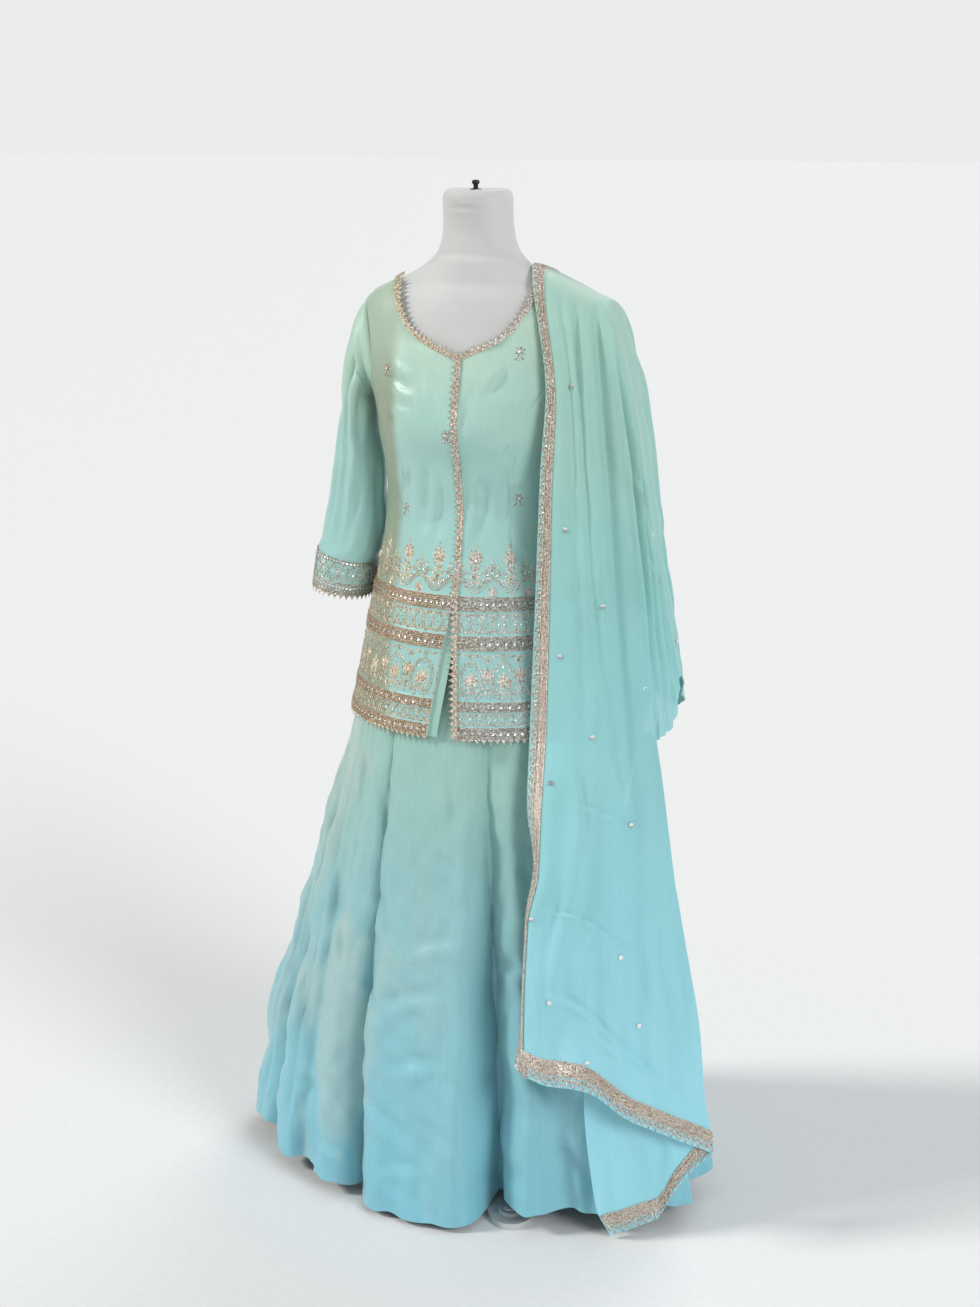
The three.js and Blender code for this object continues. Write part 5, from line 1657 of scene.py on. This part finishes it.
# A hanging end is fitted to the edge of the stretch over the shoulder that it hangs from
def hung_from(grids, edges, share):
    fitted = []
    for grid, edge in zip(grids, edges):
        cols = edge.shape[0]
        grid = grid.copy()
        grid[:, :cols] += (edge - grid[-1, :cols]) * share[:, None, None]
        fitted.append(grid)
    return fitted


def dupatta():
    back_c = np.linspace(0, BACK_END_C, 45)
    near = np.concatenate([back_c, np.linspace(BACK_END_C, FOLD_C, 11)[1:]])
    c = np.concatenate([near, np.linspace(FOLD_C, 1, 51)[1:]])
    s = np.linspace(-1, 1, 201)
    t = np.sign(s) * np.abs(s) ** 1.25
    C, T = np.meshgrid(c, t)
    over = veil_grids(wrap_point, wrap_dent, C, T, 1)
    w = np.concatenate([near / FOLD_C * FOLD_W, np.linspace(FOLD_W, 1, 31)[1:]])
    v = np.linspace(0, 1, 121)
    W, V = np.meshgrid(w, v)
    front = veil_grids(front_end, front_dent, W, V, 1)
    front = hung_from(front, [grid[0, : len(near)] for grid in over], step_up(v, 0.7, 1))
    v = np.linspace(0, 1, 61)
    B, D = np.meshgrid(back_c / BACK_END_C, v)
    back = veil_grids(back_end, back_dent, B, D, -1)
    back = hung_from(back, [grid[-1, : len(back_c)] for grid in over], step_up(v, 0.6, 1))
    front_free, back_free = slice(len(near) - 1, None), slice(len(back_c) - 1, None)
    parts = [
        shell(*over, foot=front_free, head=back_free),
        shell(*front, head=front_free),
        shell(*[grid[::-1] for grid in back], foot=slice(0, 1)),
    ]
    points, faces = join(parts)
    charts = [
        np.stack([C * WRAP_ACROSS, T * WRAP_DOWN], -1),
        np.stack([W * FRONT_ACROSS, V * FRONT_DOWN - 1200], -1),
        np.stack([B * BACK_ACROSS, 900 - D * BACK_DOWN], -1),
    ]
    uv = np.concatenate([np.concatenate([chart.reshape(-1, 2)] * 2) for chart in charts])
    mesh = plain_mesh("dupatta_cloth", points, faces, uv)
    work = bmesh.new()
    work.from_mesh(mesh)
    bmesh.ops.remove_doubles(work, verts=work.verts, dist=0.02 * MM)
    work.to_mesh(mesh)
    work.free()
    nodes = ["dupatta_over_shoulder", "dupatta_front_end", "dupatta_back_end"]
    cloth = put("dupatta_cloth", mesh, chiffon, nodes)


# Metallic border of the dupatta: scalloped loops on its edge, slanted stitches both ways, cords between
BORDER_PITCH = 13.0
BORDER_WIDE = 31.0
STITCH_PITCH = 2.7
# Cords of the border: place across, width, and how beaded they are
BORDER_CORDS = [(1.1, 2.2, 0.0), (3.6, 1.6, 0.5), (8.8, 1.3, 0.4), (14.2, 1.6, 0.5), (17, 2.0, 0.35)]


def border_strip(work, chart, length):
    work.on(chart, length / 2, 8)
    work.cord(line(0, 8.5, length, 8.5, 3), 16.5, 0.5)
    for q, wide, beaded in BORDER_CORDS:
        work.cord(line(0, q, length, q, 1.9), wide, 1.2, beaded, 0.2)
    n = int(length / STITCH_PITCH)
    for k in range(n):
        x = (k + 0.5) * length / n
        work.leaf(x - 1.4, 4.2, 58, 4.9, 1.7, 0.9, 0.4)
        work.leaf(x + 1.4, 9.6, 122, 4.9, 1.7, 0.9, 0.4)
    places = spaced(length, BORDER_PITCH)
    for x in places:
        work.cord(arc(x, 18, length / len(places) * 0.47, 10.5, 0, 180, 11), 2.0, 1.0, 0.35)
        for a in (50, 90, 130):
            work.leaf(x, 18.6, a, 7.2, 2.5, 0.8)
        work.bead(x, 30, 1.0)


# Chart of the border along an edge of the dupatta: s counts along the edge, across goes out to it
def veil_chart(surface, dent, at, facing, inside, count=400):
    share = np.linspace(0, 1, count)
    p, q = at(share, np.zeros(count) + 0.3)
    points = surface(p, q)
    lengths = lengths_along(points)

    def place(s, across, h):
        p, q = at(np.interp(s, lengths, share), BORDER_WIDE - across)
        n = normal_of(surface, p, q, 0.004, 0.004) * facing
        lift = -h if inside else VEIL + 0.25 + h
        return surface(p, q) + n * (dent(p, q) + lift)[..., None]

    return place, lengths[-1]


# Border routes: place on the dupatta's surface at the share s along the route and q mm into the cloth
BORDER_REACH = 30


def over_route(s, q):
    front_share = step_up(1 - 2 * s, 0.6, 1)
    return mix(BORDER_C, BORDER_W / FOLD_W * FOLD_C, front_share) * q / BORDER_REACH, 2 * s - 1


def side_route(s, q):
    return BORDER_W * q / BORDER_REACH, 1 - s


def hem_route(s, q):
    return s, 1.25 * q / (WRAP_BOTTOM - edge_height(s))


def tucked_route(s, q):
    return hem_route(mix(FOLD_W + 0.01, 0.995, s), q)


def back_side_route(s, q):
    return q / 120.0, 1 - s


def back_hem_route(s, q):
    return s, 1.8 * q / (WRAP_BOTTOM + 20 - back_hem(s))


def dupatta_borders():
    charts = [
        ("over_shoulder", wrap_point, wrap_dent, 1, [(over_route, False)]),
        ("front_side", front_end, front_dent, 1, [(side_route, False)]),
        ("front_hem", front_end, front_dent, 1, [(hem_route, False), (tucked_route, True)]),
        ("back_side", back_end, back_dent, -1, [(back_side_route, False)]),
        ("back_hem", back_end, back_dent, -1, [(back_hem_route, False)]),
    ]
    for name, surface, dent, facing, routes in charts:
        work = Work()
        for at, inside in routes:
            border_strip(work, *veil_chart(surface, dent, at, facing, inside))
        work.object(f"dupatta_border_{name}", zari_border, [f"border_{name}"])


# Mirror sequins on the dupatta: x and z as seen from the front
MIRRORS = [
    (164, 1225), (164, 1035), (217, 932), (164, 862), (273, 816), (214, 756), (165, 692), (271, 630),
    (265, 448), (182, 392), (293, 342), (230, 301), (142, 331), (150, 507), (274, 1019), (120, 1150),
]
MIRRORS_BACK = [
    (160, 1210), (200, 1080), (250, 940), (150, 930), (210, 800), (290, 860), (140, 640), (120, 1180),
]
MIRROR_RADIUS = 3.6
MIRROR_REACH = 12


def mirror_sequins():
    C, T = np.meshgrid(np.linspace(0.1, 1, 120), np.linspace(-1, 1, 401))
    W, V = np.meshgrid(np.linspace(0.1, 0.6, 120), np.linspace(0.02, 1, 260))
    B, D = np.meshgrid(np.linspace(0.25, 0.9, 60), np.linspace(0.1, 1, 90))
    sides = [
        (wrap_point, wrap_dent, C, T, 1, T < -0.03, MIRRORS, True),
        (front_end, front_dent, W, V, 1, True, MIRRORS, False),
        (wrap_point, wrap_dent, C, T, 1, T > 0.03, MIRRORS_BACK, True),
        (back_end, back_dent, B, D, -1, True, MIRRORS_BACK, False),
    ]
    work = Work()
    for surface, dent, P, Q, facing, use, places, high in sides:
        grid = surface(P, Q)
        normal = normal_of(surface, P, Q, 0.004, 0.004) * facing
        top = grid + normal * (VEIL + dent(P, Q))[..., None]
        for x, z in places:
            if (z >= WRAP_BOTTOM) != high:
                continue
            away = np.where(use, np.hypot(grid[..., 0] - x, grid[..., 2] - z), np.inf)
            at = np.unravel_index(np.argmin(away), away.shape)
            if away[at] > MIRROR_REACH:
                continue
            n = normal[at]
            first = unit(np.cross([0, 0, 1.0], n))
            second = np.cross(n, first)
            centre = top[at]

            def chart(p, q, h, centre=centre, n=n, first=first, second=second):
                return centre + p[:, None] * first + q[:, None] * second + (h + 0.9)[:, None] * n

            work.on(chart, 0, 0)
            work.disc(0, 0, MIRROR_RADIUS, 0.8)
    work.object("mirror_sequins", mirror_disc)


# Floor, backdrop and suns
FLOOR_SIZE = 60.0
SOFT_LIGHT = 0.4
BACKDROP = 0.84
# Suns: name, where it stands, strength, spread in degrees, colour
SUNS = [
    ("key", (-3.0, -1.5, 2.4), 1.9, 10, (1.0, 0.985, 0.955)),
    ("fill", (2.8, -1.6, 1.9), 1.45, 24, (0.98, 0.99, 1.0)),
    ("rim", (0.6, 3.0, 2.4), 0.8, 40, (0.97, 0.99, 1.0)),
]


def floor():
    mesh = bpy.data.meshes.new("floor")
    corners = [(FLOOR_SIZE * x, FLOOR_SIZE * y, 0) for x, y in ((-1, -1), (1, -1), (1, 1), (-1, 1))]
    mesh.from_pydata(corners, [], [[0, 1, 2, 3]])
    ground = bpy.data.objects.new("floor", mesh)
    bpy.context.collection.objects.link(ground)
    n = Nodes("floor_paint")
    n.feed("Base Color", n.ramp(n.noise(90.0, 2), [(0.3, 0.76), (0.7, 0.78)]))
    n.set(Roughness=0.85)
    mesh.materials.append(n.material)


# The camera sees a brighter backdrop than the one that lights the scene
def backdrop():
    world = bpy.data.worlds.new("studio")
    bpy.context.scene.world = world
    world.use_nodes = True
    nodes, links = world.node_tree.nodes, world.node_tree.links
    soft, seen = nodes["Background"], nodes.new("ShaderNodeBackground")
    path, pick = nodes.new("ShaderNodeLightPath"), nodes.new("ShaderNodeMixShader")
    soft.inputs["Color"].default_value = (0.96, 0.98, 1.0, 1)
    soft.inputs["Strength"].default_value = SOFT_LIGHT
    seen.inputs["Color"].default_value = (1.0, 1.0, 1.0, 1)
    seen.inputs["Strength"].default_value = BACKDROP
    links.new(path.outputs["Is Camera Ray"], pick.inputs[0])
    links.new(soft.outputs[0], pick.inputs[1])
    links.new(seen.outputs[0], pick.inputs[2])
    links.new(pick.outputs[0], nodes["World Output"].inputs["Surface"])
    bpy.context.scene.view_settings.view_transform = "Standard"


def suns():
    for name, place, power, spread, color in SUNS:
        data = bpy.data.lights.new(name, "SUN")
        data.energy = power
        data.angle = math.radians(spread)
        data.color = color
        lamp = bpy.data.objects.new(name, data)
        x, y, z = place
        lamp.location = place
        lamp.rotation_euler = (math.atan2(math.hypot(x, y), z), 0, math.atan2(x, -y))
        bpy.context.collection.objects.link(lamp)


def build():
    dress_form()
    neck_stud()
    stand()
    fronts = {side: refined(centre_front_cells(side), ROW_PARTS, 6) for side in (-1, 1)}
    back = refined(back_cells(), 4, 4)
    kurti_panel("kurti_back_silk", "kurti_back", back, *BACK_CUT)
    for side, hand in ((-1, "right"), (1, "left")):
        side_front = refined(side_front_cells(side), ROW_PARTS, 7)
        kurti_panel(f"kurti_front_silk_{hand}", f"kurti_front_{hand}", fronts[side], *FRONT_CUT)
        kurti_panel(f"kurti_side_silk_{hand}", f"kurti_side_front_{hand}", side_front, *SIDE_CUT)
        sleeve(side, hand)
        cuff(side, hand)
    kurti_laces(fronts, back)
    facing()
    for name, (first, last, side) in RUNS.items():
        hem_threadwork(name, first, last, side)
        hem_lace(name, first, last, side)
    scattered_motifs()
    waistband()
    for k in range(len(SKIRT_SEAMS)):
        skirt_panel(k)
    dupatta()
    dupatta_borders()
    mirror_sequins()
    floor()
    backdrop()
    suns()


build()
